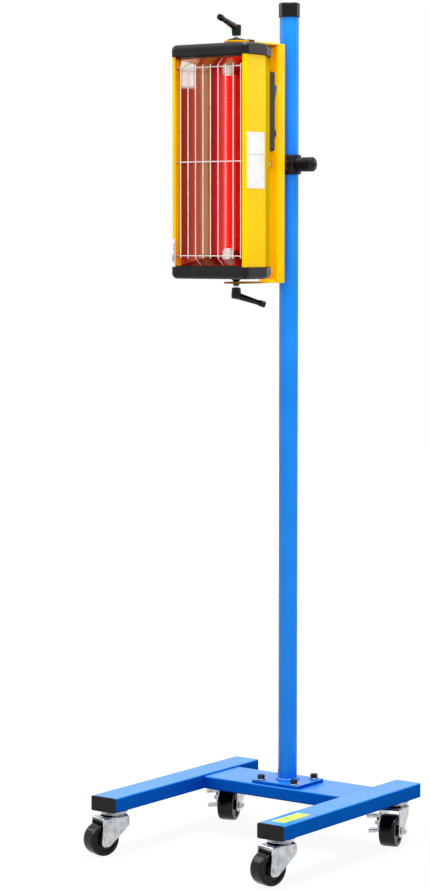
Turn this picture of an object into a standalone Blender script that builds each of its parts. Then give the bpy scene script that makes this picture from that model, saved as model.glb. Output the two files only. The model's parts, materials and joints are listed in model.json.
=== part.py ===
"""Infrared paint curing lamp on a wheeled stand.

Metres, +Z up, the floor at Z 0. The lamp faces -Y, and the post stands behind the middle of the base.
"""

import math

import bmesh
import bpy
from mathutils import Matrix, Vector

# Clearances and shared edges
SEAT_GAP = 0.0003
RUNNING_GAP = 0.0003
SHEET_CORNER = 0.0030
CUT_OVERRUN = 0.0050

# Base of rectangular tube
LEG_LENGTH = 0.408
LEG_WIDTH = 0.050
LEG_HEIGHT = 0.025
LEG_WALL = 0.0020
LEG_CORNER = 0.0025
LEG_SPACING = 0.338
LEG_TAIL = 0.060
END_CAP_FLANGE = 0.0030
END_CAP_PLUG = 0.0160
CROSS_DEPTH = 0.100
CROSS_OFFSET = 0.006
CROSS_DROP = 0.0030

# Post with its flange
FLANGE_WIDTH = 0.096
FLANGE_DEPTH = 0.080
FLANGE_THICKNESS = 0.0050
BOLT_EDGE_X = 0.0140
BOLT_EDGE_Y = 0.0100
BOLT_DIAMETER = 0.0080
BOLT_HEAD_DIAMETER = 0.0120
BOLT_HEAD_HEIGHT = 0.0070
BOLT_WASHER_DIAMETER = 0.0160
BOLT_WASHER_THICKNESS = 0.0016
BOLT_NUT_HEIGHT = 0.0060
POST_DIAMETER = 0.032
POST_WALL = 0.0020
POST_LENGTH = 1.307
POST_WELD = 0.0035
POST_CAP_DIAMETER = 0.035
POST_CAP_SKIRT = 0.0215
POST_CAP_TOP = 0.0025
POST_CAP_ROUND = 0.0015

# Casters
CASTER_FRONT_INSET = 0.0295
CASTER_REAR_INSET = 0.040
CASTER_TRAIL = 0.0255
WHEEL_DIAMETER = 0.055
WHEEL_WIDTH = 0.0275
WHEEL_ROUND = 0.0050
WHEEL_RIM = 0.0070
WHEEL_DISH = 0.0030
HUB_DIAMETER = 0.0180
HUB_WIDTH = 0.0310
AXLE_DIAMETER = 0.0060
AXLE_HEAD_DIAMETER = 0.0115
AXLE_HEAD_HEIGHT = 0.0022
AXLE_NUT_HEIGHT = 0.0090
FORK_WALL = 0.0025
FORK_SIDE_GAP = 0.0005
FORK_REAR = 0.0190
FORK_FRONT_OVERHANG = 0.0060
FORK_TIP_RADIUS = 0.0110
FORK_SHOULDER = 0.0160
FORK_CORNER = 0.0040
WHEEL_TOP_GAP = 0.0070
RACE_DIAMETER = 0.047
RACE_HEIGHT = 0.0045
FORK_RACE_HEIGHT = 0.0045
KINGPIN_DIAMETER = 0.0080
RIVET_DIAMETER = 0.0140
RIVET_HEIGHT = 0.0025

# Side brake of the rear casters
BRAKE_PLATE_WIDTH = 0.0200
BRAKE_PLATE_THICKNESS = 0.0016
BRAKE_STANDOFF = 0.0054
BRAKE_PIVOT_RISE = 0.0110
BRAKE_ABOVE_PIVOT = 0.0130
BRAKE_BELOW_PIVOT = 0.0250
BRAKE_POINT_WIDTH = 0.0066
BRAKE_TAB_REACH = 0.0170
BRAKE_TAB_LIP = 0.0060
BRAKE_TAB_SPACING = 0.0250
BRAKE_PIN_DIAMETER = 0.0030
BRAKE_EAR_THICKNESS = 0.0025
BRAKE_EAR_WALL = 0.0018
BRAKE_REST_TILT = 7.0

# Clamp on the post
LAMP_HEIGHT = 1.1435
BUSH_WALL = 0.0014
BUSH_LIP = 0.0014
BUSH_LIP_REACH = 0.0022
COLLAR_HEIGHT = 0.0290
COLLAR_WALL = 0.0028
NECK_INSET = 0.0005
NECK_SINK = 0.0015
KNOB_BOSS_DIAMETER = 0.0230
KNOB_BOSS_REACH = 0.0080
KNOB_DIAMETER = 0.0240
KNOB_LENGTH = 0.0200
KNOB_CONE_LENGTH = 0.0065
KNOB_TIP_DIAMETER = 0.0040
KNOB_FLUTES = 6
KNOB_FLUTE_RADIUS = 0.0040
KNOB_FLUTE_DEPTH = 0.0008
KNOB_SCREW_DIAMETER = 0.0080

# Yoke
PIVOT_REACH = 0.150
WEB_REACH = 0.061
YOKE_WIDTH = 0.040
YOKE_SHEET = 0.0030
YOKE_FLANGE = 0.0200
ARM_GAP = 0.0052
YOKE_BOLT_DIAMETER = 0.0080
YOKE_BOLT_HEAD = 0.0140
YOKE_BOLT_HEAD_HEIGHT = 0.0050
YOKE_BOLT_CROWN = 0.0098
YOKE_BOLT_DEPTH = 0.0180

# Lamp head, measured from the pivot line and the middle of the head
HEAD_WIDTH = 0.148
HEAD_HEIGHT = 0.3765
HEAD_FRONT = 0.0766
HEAD_SIDE_DEPTH = 0.0546
HEAD_REAR = 0.038
HEAD_REAR_WIDTH = 0.080
HOUSING_WALL = 0.0020
HOUSING_LIP = 0.0073
HOUSING_CORNER = 0.0060
CAP_HEIGHT = 0.0190
CAP_OVERHANG = 0.0025
CAP_CORNER = 0.0100
CAP_EDGE = 0.0090
CAP_SPIGOT = 0.0020
BOSS_BASE_DIAMETER = 0.0260
BOSS_TOP_DIAMETER = 0.0105
STUD_DIAMETER = 0.0060
STUD_SINK = 0.0120

# Reflector, tube and guard
REFLECTOR_SETBACK = 0.0220
REFLECTOR_DEPTH = 0.0470
REFLECTOR_WALL = 0.0010
END_PLATE_DROP = 0.0200
TUBE_OFFSET = 0.0155
TUBE_DIAMETER = 0.0120
TUBE_BASE_DIAMETER = 0.0140
TUBE_BASE_LENGTH = 0.0200
SOCKET_DIAMETER = 0.0190
SOCKET_BACK = 0.0079
SOCKET_MOUTH_INSET = 0.0040
GUARD_WIRE = 0.0020
GUARD_SETBACK = 0.0060
GUARD_PITCH = 0.0150
GUARD_RAIL_INSET = 0.0162
GUARD_BAR_TAIL = 0.0040
GUARD_WELD = 0.0005

# Control box on the back of the head
BOX_WIDTH = 0.030
BOX_HEIGHT = 0.130
BOX_DEPTH = 0.0150
BOX_WALL = 0.0020
BOX_CENTRE_X = 0.0250
BOX_FROM_CAP = 0.0207
BOX_CORNER = 0.0050
ROCKER_FROM_TOP = 0.0355
ROCKER_LENGTH = 0.0310
ROCKER_WIDTH = 0.0220
ROCKER_FACE_RISE = 0.0110
ROCKER_SKIRT = 0.0050
ROCKER_FOOT = 0.0060
ROCKER_PIVOT_DEPTH = 0.0030
ROCKER_TILT = 16.0
ROCKER_PIN_DIAMETER = 0.0030
ROCKER_PIN_REACH = 0.0012
ROCKER_CHEEK = 0.0030
GLAND_FROM_BOTTOM = 0.0300
GLAND_DIAMETER = 0.0220
GLAND_HEIGHT = 0.0105
GLAND_CHAMFER = 0.0020
GLAND_BORE = 0.0070
GLAND_STEM_DIAMETER = 0.0120
TERMINAL_WIDTH = 0.0300
TERMINAL_DEPTH = 0.0140
TERMINAL_HEIGHT = 0.0200

# Clamping levers
WASHER_DIAMETER = 0.0300
WASHER_TOP_DIAMETER = 0.0120
WASHER_HEIGHT = 0.0040
TONGUE_WIDTH = 0.0120
TONGUE_OFFSET = 0.0140
TONGUE_THICKNESS = 0.0016
TONGUE_DROP = 0.0050
LOWER_SPACER_DIAMETER = 0.0105
LOWER_SPACER_HEIGHT = 0.0025
LEVER_NECK_DIAMETER = 0.0090
LEVER_NECK_LENGTH = 0.0034
LEVER_HUB_DIAMETER = 0.0160
LEVER_FOOT_DIAMETER = 0.0144
LEVER_HUB_HEIGHT = 0.0182
LEVER_HUB_ROUND = 0.0028
LEVER_REACH = 0.0430
LEVER_RISE = 0.0140
LEVER_ROOT_DIAMETER = 0.0110
LEVER_TIP_DIAMETER = 0.0095
LEVER_END_DIAMETER = 0.0106
LEVER_BORE_DEPTH = 0.0160

# How the parts stand in the photograph, in degrees
CASTER_TURNS = {"front_left": -18.0, "front_right": -14.0, "rear_left": 18.0, "rear_right": 16.0}
UPPER_LEVER_TURN = 0.0
LOWER_LEVER_TURN = -54.0

# Angles in degrees past which an edge is kept sharp or rounded, and points merged
SMOOTH_ANGLE = 35
ROUNDED_EDGE_ANGLE = 50
MERGE_DISTANCE = 0.00001

# Facets round a full turn
POST_SIDES = 32
WHEEL_SIDES = 24
ROUND_SIDES = 20
SMALL_SIDES = 12
WIRE_SIDES = 6
CORNER_STEPS = 2
REFLECTOR_STEPS = 14

# Places worked out from the sizes above
axle_height = WHEEL_DIAMETER / 2
fork_top = WHEEL_DIAMETER + WHEEL_TOP_GAP + FORK_WALL
race_bottom = fork_top + FORK_RACE_HEIGHT + RUNNING_GAP
race_top = race_bottom + RACE_HEIGHT
leg_bottom = race_top + SEAT_GAP
leg_top = leg_bottom + LEG_HEIGHT
cross_top = leg_top - CROSS_DROP
flange_bottom = cross_top + SEAT_GAP
flange_top = flange_bottom + FLANGE_THICKNESS
post_bottom = flange_top + SEAT_GAP
post_top = post_bottom + POST_LENGTH
fork_inner = HUB_WIDTH / 2 + FORK_SIDE_GAP
fork_outer = fork_inner + FORK_WALL
leg_rear = CROSS_OFFSET + CROSS_DEPTH / 2 + LEG_TAIL
leg_front = leg_rear - LEG_LENGTH
wheel_front_reach = -leg_front - CASTER_FRONT_INSET + CASTER_TRAIL + WHEEL_DIAMETER / 2
post_y = (wheel_front_reach - leg_rear) / 2
bush_inner = POST_DIAMETER / 2 + RUNNING_GAP
bush_outer = bush_inner + BUSH_WALL
collar_inner = bush_outer + RUNNING_GAP
collar_outer = collar_inner + COLLAR_WALL
yoke_height = HEAD_HEIGHT + 2 * (ARM_GAP + YOKE_SHEET)
head_top = HEAD_HEIGHT / 2
arm_bottom = head_top + ARM_GAP
arm_top = arm_bottom + YOKE_SHEET
cap_face = head_top - CAP_HEIGHT
spigot_face = cap_face - CAP_SPIGOT
box_centre_z = cap_face - BOX_FROM_CAP - BOX_HEIGHT / 2
reflector_half = HEAD_WIDTH / 2 - HOUSING_WALL - SEAT_GAP
reflector_front = -HEAD_FRONT + REFLECTOR_SETBACK
reflector_back = reflector_front + REFLECTOR_DEPTH
tube_y = reflector_back - TUBE_OFFSET
tube_half = spigot_face - SEAT_GAP - SOCKET_BACK - SEAT_GAP
guard_rail_height = spigot_face - GUARD_RAIL_INSET
guard_side_bars = int((HEAD_WIDTH / 2 - HOUSING_LIP - GUARD_WIRE) / GUARD_PITCH)


# Tools

def linear(code):
    """A six-digit sRGB code as linear red, green and blue."""
    channels = [int(code[at:at + 2], 16) / 255 for at in (0, 2, 4)]
    return [c / 12.92 if c <= 0.04045 else ((c + 0.055) / 1.055) ** 2.4 for c in channels]


def finish_material(name, code, roughness, metallic=0.0, glow=0.0):
    material = bpy.data.materials.new(name)
    material.use_nodes = True
    shader = material.node_tree.nodes["Principled BSDF"]
    shader.inputs["Base Color"].default_value = [*linear(code), 1.0]
    shader.inputs["Roughness"].default_value = roughness
    shader.inputs["Metallic"].default_value = metallic
    shader.inputs["Emission Color"].default_value = [*linear(code), 1.0]
    shader.inputs["Emission Strength"].default_value = glow
    material.diffuse_color = [*linear(code), 1.0]
    return material


def axis_empty(name, parent=None, location=(0, 0, 0), turn=0.0):
    """An empty on the axis of a joint; turn is in degrees about Z."""
    empty = bpy.data.objects.new(name, None)
    empty.empty_display_size = LEG_WIDTH
    empty.location = location
    empty.rotation_euler = (0, 0, math.radians(turn))
    empty.parent = parent
    parts.objects.link(empty)
    return empty


def shade_round(mesh):
    mesh.shade_smooth()
    mesh.set_sharp_from_angle(angle=math.radians(SMOOTH_ANGLE))


def place(name, mesh, material, parent, matrix=None):
    """A finished part: the mesh as an object under its axis, with a material of its own."""
    obj = bpy.data.objects.new(name, mesh)
    parts.objects.link(obj)
    obj.parent = parent
    if matrix is not None:
        obj.matrix_local = matrix
    obj.data.materials.clear()
    obj.data.materials.append(material)
    return obj


def as_cutter(name, mesh, parent):
    """A helper for a Boolean, in the frame of the part that it cuts or joins."""
    obj = bpy.data.objects.new(name, mesh)
    cutters.objects.link(obj)
    obj.parent = parent
    obj.hide_render = True
    obj.display_type = "WIRE"
    return obj


def combine(obj, operation, name, mesh):
    """A live EXACT Boolean with a helper that stands in the same frame as the object."""
    helper = as_cutter(obj.name + "_" + name, mesh, obj.parent)
    modifier = obj.modifiers.new(name, "BOOLEAN")
    modifier.operation = operation
    modifier.solver = "EXACT"
    modifier.object = helper
    return obj


def baked(mesh, *steps):
    """The mesh after Booleans given as (operation, mesh), for parts that are used several times."""
    obj = bpy.data.objects.new("pattern", mesh)
    cutters.objects.link(obj)
    helpers = []
    for operation, other in steps:
        helper = bpy.data.objects.new("pattern_helper", other)
        cutters.objects.link(helper)
        helpers.append(helper)
        modifier = obj.modifiers.new("step", "BOOLEAN")
        modifier.operation = operation
        modifier.solver = "EXACT"
        modifier.object = helper
    graph = bpy.context.evaluated_depsgraph_get()
    result = bpy.data.meshes.new_from_object(obj.evaluated_get(graph))
    for helper in [obj, *helpers]:
        bpy.data.objects.remove(helper)
    shade_round(result)
    return result


def mesh_from(work):
    """A mesh from a bmesh, with its normals pointing out."""
    bmesh.ops.recalc_face_normals(work, faces=work.faces)
    mesh = bpy.data.meshes.new("shape")
    work.to_mesh(mesh)
    work.free()
    shade_round(mesh)
    return mesh


def box(low, high):
    low, high = Vector(low), Vector(high)
    work = bmesh.new()
    matrix = Matrix.Translation((low + high) / 2) @ Matrix.Diagonal((*(high - low), 1.0))
    bmesh.ops.create_cube(work, size=1.0, matrix=matrix)
    return mesh_from(work)


def rod(start, end, radius, end_radius=None, sides=ROUND_SIDES):
    """A cylinder or a cone between two points."""
    start, end = Vector(start), Vector(end)
    turn = (end - start).to_track_quat("Z", "Y").to_matrix().to_4x4()
    work = bmesh.new()
    bmesh.ops.create_cone(
        work, cap_ends=True, segments=sides, depth=(end - start).length,
        radius1=radius, radius2=radius if end_radius is None else end_radius,
        matrix=Matrix.Translation((start + end) / 2) @ turn,
    )
    return mesh_from(work)


def turned(profile, sides, closed=False, matrix=None):
    """A turned mesh. The profile lists (radius, height) down the outer side, from top to bottom."""
    work = bmesh.new()
    points = [work.verts.new((radius, 0, height)) for radius, height in profile]
    for first, second in zip(points, points[1:]):
        work.edges.new((first, second))
    if closed:
        work.edges.new((points[-1], points[0]))
    mesh = bpy.data.meshes.new("profile")
    work.to_mesh(mesh)
    work.free()
    obj = bpy.data.objects.new("profile", mesh)
    cutters.objects.link(obj)
    screw = obj.modifiers.new("turn", "SCREW")
    screw.steps = sides
    screw.render_steps = sides
    screw.use_merge_vertices = True
    screw.merge_threshold = MERGE_DISTANCE
    graph = bpy.context.evaluated_depsgraph_get()
    result = bpy.data.meshes.new_from_object(obj.evaluated_get(graph))
    bpy.data.objects.remove(obj)
    if matrix is not None:
        result.transform(matrix)
    shade_round(result)
    return result


def plate(outlines, thickness, matrix):
    """Closed outlines, the first the edge and the others holes, made a plate centred on their plane."""
    curve = bpy.data.curves.new("outline", "CURVE")
    curve.dimensions = "2D"
    curve.fill_mode = "BOTH"
    curve.extrude = thickness / 2
    for outline in outlines:
        spline = curve.splines.new("POLY")
        spline.points.add(len(outline) - 1)
        for point, (x, y) in zip(spline.points, outline):
            point.co = (x, y, 0, 1)
        spline.use_cyclic_u = True
    obj = bpy.data.objects.new("outline", curve)
    cutters.objects.link(obj)
    graph = bpy.context.evaluated_depsgraph_get()
    mesh = bpy.data.meshes.new_from_object(obj.evaluated_get(graph))
    bpy.data.objects.remove(obj)
    work = bmesh.new()
    work.from_mesh(mesh)
    bmesh.ops.remove_doubles(work, verts=work.verts, dist=MERGE_DISTANCE)
    bmesh.ops.transform(work, matrix=matrix, verts=work.verts)
    return mesh_from(work)


def wall_along(points, low, high, thickness, outward):
    """An open path in plan, raised between two heights and given a wall by Solidify."""
    work = bmesh.new()
    bottom = [work.verts.new((x, y, low)) for x, y in points]
    edges = [work.edges.new(pair) for pair in zip(bottom, bottom[1:])]
    raised = bmesh.ops.extrude_edge_only(work, edges=edges)
    tops = [item for item in raised["geom"] if isinstance(item, bmesh.types.BMVert)]
    bmesh.ops.translate(work, verts=tops, vec=(0, 0, high - low))
    mesh = bpy.data.meshes.new("path")
    work.to_mesh(mesh)
    work.free()
    obj = bpy.data.objects.new("path", mesh)
    cutters.objects.link(obj)
    solid = obj.modifiers.new("wall", "SOLIDIFY")
    solid.thickness = thickness
    solid.offset = 1 if outward else -1
    solid.use_even_offset = True
    graph = bpy.context.evaluated_depsgraph_get()
    result = bpy.data.meshes.new_from_object(obj.evaluated_get(graph))
    bpy.data.objects.remove(obj)
    work = bmesh.new()
    work.from_mesh(result)
    return mesh_from(work)


def bevelled(mesh, width, keep=lambda edge: True, steps=2):
    """The mesh with its sharp edges that pass the test rounded."""
    work = bmesh.new()
    work.from_mesh(mesh)
    least = math.radians(ROUNDED_EDGE_ANGLE)
    sharp = [edge for edge in work.edges if edge.calc_face_angle(0) > least and keep(edge)]
    bmesh.ops.bevel(
        work, geom=sharp, offset=width, segments=steps, profile=0.5, affect="EDGES",
        material=-1, clamp_overlap=False,
    )
    return mesh_from(work)


def arc(centre, radius, start, end, steps):
    """Points on an arc, in degrees, both ends included."""
    angles = [math.radians(start + (end - start) * at / steps) for at in range(steps + 1)]
    return [(centre[0] + radius * math.cos(a), centre[1] + radius * math.sin(a)) for a in angles]


def circle(centre, radius, sides=ROUND_SIDES):
    return arc(centre, radius, 0, 360, sides)[:-1]


def rounded(corners, steps=CORNER_STEPS, closed=True):
    """An outline from (x, y, radius) corners, each filleted with its own radius."""
    outline = []
    count = len(corners)
    for at, (x, y, radius) in enumerate(corners):
        here = Vector((x, y))
        if radius == 0 or (not closed and at in (0, count - 1)):
            outline.append((x, y))
            continue
        before = Vector(corners[at - 1][:2]) - here
        after = Vector(corners[(at + 1) % count][:2]) - here
        half = before.angle(after) / 2
        inset = min(radius / math.tan(half), before.length / 2, after.length / 2)
        true_radius = inset * math.tan(half)
        middle = (before.normalized() + after.normalized()).normalized()
        centre = here + middle * (true_radius / math.sin(half))
        first = here + before.normalized() * inset - centre
        last = here + after.normalized() * inset - centre
        sweep = first.angle_signed(last)
        for step in range(steps + 1):
            spoke = first.copy()
            spoke.rotate(Matrix.Rotation(-sweep * step / steps, 2))
            outline.append(tuple(centre + spoke))
    return outline


def rectangle(width, height, radius=0.0, centre=(0.0, 0.0)):
    x, y = centre
    w, h = width / 2, height / 2
    corners = [(x - w, y - h), (x + w, y - h), (x + w, y + h), (x - w, y + h)]
    return rounded([(*corner, radius) for corner in corners])


def offset_corners(corners, distance):
    """Corners of a closed outline, listed anticlockwise, moved out by a distance."""
    moved = []
    for at, (x, y) in enumerate(corners):
        here = Vector((x, y))
        before = (here - Vector(corners[at - 1])).normalized()
        after = (Vector(corners[(at + 1) % len(corners)]) - here).normalized()
        out_before = Vector((before.y, -before.x))
        out_after = Vector((after.y, -after.x))
        middle = (out_before + out_after).normalized()
        moved.append(tuple(here + middle * (distance / middle.dot(out_before))))
    return moved


def frame(origin, across, up):
    """The matrix that lays an outline's x along across and its y along up, through the origin."""
    across, up = Vector(across), Vector(up)
    normal = across.cross(up)
    return Matrix.Translation(origin) @ Matrix((across, up, normal)).transposed().to_4x4()


ALONG_X = frame((0, 0, 0), (0, 1, 0), (0, 0, 1))
ALONG_Y = frame((0, 0, 0), (1, 0, 0), (0, 0, 1))
ALONG_Z = Matrix.Identity(4)
LYING_X = Matrix.Rotation(math.radians(90), 4, "Y")


# Base

def tube_section(width, height):
    """The outer and the inner outline of a rectangular tube."""
    return [
        rectangle(width, height, LEG_CORNER),
        rectangle(width - 2 * LEG_WALL, height - 2 * LEG_WALL, LEG_CORNER / 2),
    ]


def make_leg(side, sign, root, paint, plastic):
    """A leg of rectangular tube, with a flanged cap in front and a plug flush in its rear end."""
    x = sign * LEG_SPACING / 2
    middle = leg_bottom + LEG_HEIGHT / 2
    tube_front = leg_front + END_CAP_FLANGE + SEAT_GAP
    at = Matrix.Translation((x, (tube_front + leg_rear) / 2, middle))
    tube = plate(tube_section(LEG_WIDTH, LEG_HEIGHT), leg_rear - tube_front, at @ ALONG_Y)
    place(side + "_leg", tube, paint, root)
    plug_width = LEG_WIDTH - 2 * (LEG_WALL + SEAT_GAP)
    plug_height = LEG_HEIGHT - 2 * (LEG_WALL + SEAT_GAP)
    plug_outline = [rectangle(plug_width, plug_height, LEG_CORNER)]
    flange_outline = [rectangle(LEG_WIDTH, LEG_HEIGHT, LEG_CORNER)]
    flange_middle = leg_front + END_CAP_FLANGE / 2
    plug_length = END_CAP_PLUG + END_CAP_FLANGE / 2
    flange_at = Matrix.Translation((x, flange_middle, middle))
    cap = plate(flange_outline, END_CAP_FLANGE, flange_at @ ALONG_Y)
    front_cap = place("leg_cap_front_" + side, cap, plastic, root)
    plug_at = Matrix.Translation((x, flange_middle + plug_length / 2, middle))
    combine(front_cap, "UNION", "plug", plate(plug_outline, plug_length, plug_at @ ALONG_Y))
    rear_at = Matrix.Translation((x, leg_rear - END_CAP_PLUG / 2, middle))
    place("leg_cap_rear_" + side, plate(plug_outline, END_CAP_PLUG, rear_at @ ALONG_Y), plastic, root)


def bolt_places():
    x = FLANGE_WIDTH / 2 - BOLT_EDGE_X
    y = FLANGE_DEPTH / 2 - BOLT_EDGE_Y
    return [(-x, -y), (x, -y), (x, y), (-x, y)]


def make_cross_member(root, paint):
    """The flat tube between the legs, open under the flange bolts."""
    length = LEG_SPACING - LEG_WIDTH - 2 * SEAT_GAP
    height = cross_top - leg_bottom
    at = Matrix.Translation((0, CROSS_OFFSET, leg_bottom + height / 2))
    tube = plate(tube_section(CROSS_DEPTH, height), length, at @ ALONG_X)
    member = place("cross_member", tube, paint, root)
    for number, (x, y) in enumerate(bolt_places(), 1):
        hole = rod(
            (x, y, cross_top - LEG_WALL - CUT_OVERRUN), (x, y, cross_top + CUT_OVERRUN),
            BOLT_DIAMETER / 2 + RUNNING_GAP, sides=SMALL_SIDES,
        )
        combine(member, "DIFFERENCE", "hole_%d" % number, hole)


def make_post(root, paint, plastic, steel):
    """The flange with its bolts, the tube welded upright on it and the cap."""
    holes = [circle(at, BOLT_DIAMETER / 2 + RUNNING_GAP, SMALL_SIDES) for at in bolt_places()]
    flange = [rectangle(FLANGE_WIDTH, FLANGE_DEPTH, LEG_CORNER), *holes]
    flange_at = Matrix.Translation((0, 0, flange_bottom + FLANGE_THICKNESS / 2))
    place("post_flange", plate(flange, FLANGE_THICKNESS, flange_at), paint, root)
    outer = POST_DIAMETER / 2
    inner = outer - POST_WALL
    weld = arc((outer, post_bottom), POST_WELD, 90, 0, CORNER_STEPS)
    profile = [(outer, post_top), *weld, (inner, post_bottom), (inner, post_top)]
    place("post_tube", turned(profile, POST_SIDES, closed=True), paint, root)
    cap_inner = outer + SEAT_GAP
    cap_outer = max(POST_CAP_DIAMETER / 2, cap_inner + POST_CAP_ROUND)
    inner_top = post_top + SEAT_GAP
    top = inner_top + POST_CAP_TOP
    edge = arc((cap_outer - POST_CAP_ROUND, top - POST_CAP_ROUND), POST_CAP_ROUND, 90, 0, CORNER_STEPS)
    skirt = inner_top - POST_CAP_SKIRT
    profile = [
        (0, top), *edge, (cap_outer, skirt), (cap_inner, skirt), (cap_inner, inner_top), (0, inner_top),
    ]
    place("post_cap", turned(profile, POST_SIDES), plastic, root)
    for number, (x, y) in enumerate(bolt_places(), 1):
        place("flange_bolt_%d" % number, flange_bolt(), steel, root, Matrix.Translation((x, y, flange_top)))


def flange_bolt():
    """A bolt from the flange's top face: head, washer, shank and the nut under the tube's wall."""
    shank = BOLT_DIAMETER / 2
    head = BOLT_HEAD_DIAMETER / 2
    washer = BOLT_WASHER_DIAMETER / 2
    washer_top = SEAT_GAP + BOLT_WASHER_THICKNESS
    nut_top = -FLANGE_THICKNESS - SEAT_GAP - LEG_WALL - SEAT_GAP
    profile = [
        (0, washer_top + BOLT_HEAD_HEIGHT), (head, washer_top + BOLT_HEAD_HEIGHT), (head, washer_top),
        (washer, washer_top), (washer, SEAT_GAP), (shank, SEAT_GAP), (shank, nut_top), (head, nut_top),
        (head, nut_top - BOLT_NUT_HEIGHT), (0, nut_top - BOLT_NUT_HEIGHT),
    ]
    return turned(profile, SMALL_SIDES)


# Casters, each in a frame on its swivel axis at floor level, trailing towards its own -Y

def caster_race():
    """The fixed upper race with the kingpin and its rivet head."""
    race = RACE_DIAMETER / 2
    pin = KINGPIN_DIAMETER / 2
    rivet = RIVET_DIAMETER / 2
    rivet_top = fork_top - FORK_WALL - RUNNING_GAP
    profile = [
        (0, race_top), (race, race_top), (race, race_top - RACE_HEIGHT / 2),
        (race - RACE_HEIGHT / 2, race_bottom),
        (pin, race_bottom), (pin, rivet_top), (rivet, rivet_top),
        (rivet, rivet_top - RIVET_HEIGHT), (0, rivet_top - RIVET_HEIGHT),
    ]
    return turned(profile, ROUND_SIDES)


def fork_outline():
    """The side of the fork, x forwards along the trail and y up from the floor."""
    front = CASTER_TRAIL + FORK_FRONT_OVERHANG
    tip = CASTER_TRAIL + FORK_TIP_RADIUS
    heel = CASTER_TRAIL - FORK_TIP_RADIUS
    foot = axle_height - FORK_TIP_RADIUS
    return rounded([
        (-FORK_REAR, fork_top, FORK_CORNER),
        (-FORK_REAR, fork_top - FORK_SHOULDER, FORK_SHOULDER / 2),
        (heel + FORK_TIP_RADIUS / 2, foot, FORK_TIP_RADIUS),
        (tip, foot, FORK_TIP_RADIUS),
        (front, fork_top, FORK_CORNER),
    ], steps=4)


def caster_fork(with_brake):
    """The fork: two cheeks and the crown, with the lower race on top."""
    side = frame((0, 0, 0), (0, -1, 0), (0, 0, 1))
    body = plate([fork_outline()], 2 * fork_outer, side)
    long_way = FORK_REAR + CASTER_TRAIL + FORK_TIP_RADIUS + CUT_OVERRUN
    room = box((-fork_inner, -long_way, -CUT_OVERRUN), (fork_inner, long_way, fork_top - FORK_WALL))
    race = RACE_DIAMETER / 2
    lower_race = rod(
        (0, 0, fork_top - FORK_WALL / 2), (0, 0, fork_top + FORK_RACE_HEIGHT),
        race - RACE_HEIGHT, race - RACE_HEIGHT / 4,
    )
    swivel_plate = rod((0, 0, fork_top - FORK_WALL), (0, 0, fork_top), race)
    pin_hole = rod(
        (0, 0, fork_top - FORK_WALL - CUT_OVERRUN), (0, 0, race_top + CUT_OVERRUN),
        KINGPIN_DIAMETER / 2 + RUNNING_GAP, sides=SMALL_SIDES,
    )
    reach = fork_outer + CUT_OVERRUN
    axle_hole = rod(
        (-reach, -CASTER_TRAIL, axle_height), (reach, -CASTER_TRAIL, axle_height),
        AXLE_DIAMETER / 2 + RUNNING_GAP, sides=SMALL_SIDES,
    )
    steps = [
        ("DIFFERENCE", room), ("UNION", swivel_plate), ("UNION", lower_race),
        ("DIFFERENCE", pin_hole), ("DIFFERENCE", axle_hole),
    ]
    if with_brake:
        pivot_x, pivot_y, pivot_z = brake_pivot()
        ear = BRAKE_PIN_DIAMETER / 2 + BRAKE_EAR_WALL
        for sign in (-1, 1):
            near = pivot_y + sign * (BRAKE_PLATE_WIDTH / 2 + RUNNING_GAP)
            far = near + sign * BRAKE_EAR_THICKNESS
            low_y, high_y = min(near, far), max(near, far)
            steps.append(("UNION", box(
                (pivot_x - ear, low_y, pivot_z - ear), (-fork_outer + FORK_WALL / 2, high_y, pivot_z + ear),
            )))
        span = BRAKE_PLATE_WIDTH + BRAKE_EAR_THICKNESS * 4
        steps.append(("DIFFERENCE", rod(
            (pivot_x, pivot_y - span / 2, pivot_z), (pivot_x, pivot_y + span / 2, pivot_z),
            BRAKE_PIN_DIAMETER / 2 + RUNNING_GAP, sides=SMALL_SIDES,
        )))
    return baked(body, *steps)


def brake_pivot():
    """The middle of the brake's pin, on the left of the fork."""
    x = -fork_outer - BRAKE_STANDOFF - BRAKE_PLATE_THICKNESS / 2
    return x, -CASTER_TRAIL / 2, axle_height + BRAKE_PIVOT_RISE


def caster_wheel():
    """A moulded wheel about X, with dished sides and a plain bore."""
    rim = WHEEL_DIAMETER / 2
    half = WHEEL_WIDTH / 2
    hub = HUB_DIAMETER / 2
    bore = AXLE_DIAMETER / 2 + RUNNING_GAP
    dish = half - WHEEL_DISH
    lip = rim - WHEEL_RIM
    upper_edge = arc((rim - WHEEL_ROUND, half - WHEEL_ROUND), WHEEL_ROUND, 90, 0, CORNER_STEPS)
    lower_edge = arc((rim - WHEEL_ROUND, WHEEL_ROUND - half), WHEEL_ROUND, 0, -90, CORNER_STEPS)
    profile = [
        (bore, HUB_WIDTH / 2), (hub, HUB_WIDTH / 2), (hub, dish), (lip, dish), (lip, half),
        *upper_edge, *lower_edge,
        (lip, -half), (lip, -dish), (hub, -dish), (hub, -HUB_WIDTH / 2), (bore, -HUB_WIDTH / 2),
    ]
    return turned(profile, WHEEL_SIDES, closed=True, matrix=LYING_X)


def caster_axle(nut_height):
    """The axle about X: a low head on the left and a round nut on the right."""
    shank = AXLE_DIAMETER / 2
    head = AXLE_HEAD_DIAMETER / 2
    face = fork_outer + SEAT_GAP
    profile = [
        (0, face + nut_height), (head, face + nut_height), (head, face), (shank, face),
        (shank, -face), (head, -face), (head, -face - AXLE_HEAD_HEIGHT), (0, -face - AXLE_HEAD_HEIGHT),
    ]
    return turned(profile, SMALL_SIDES, matrix=LYING_X)


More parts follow.
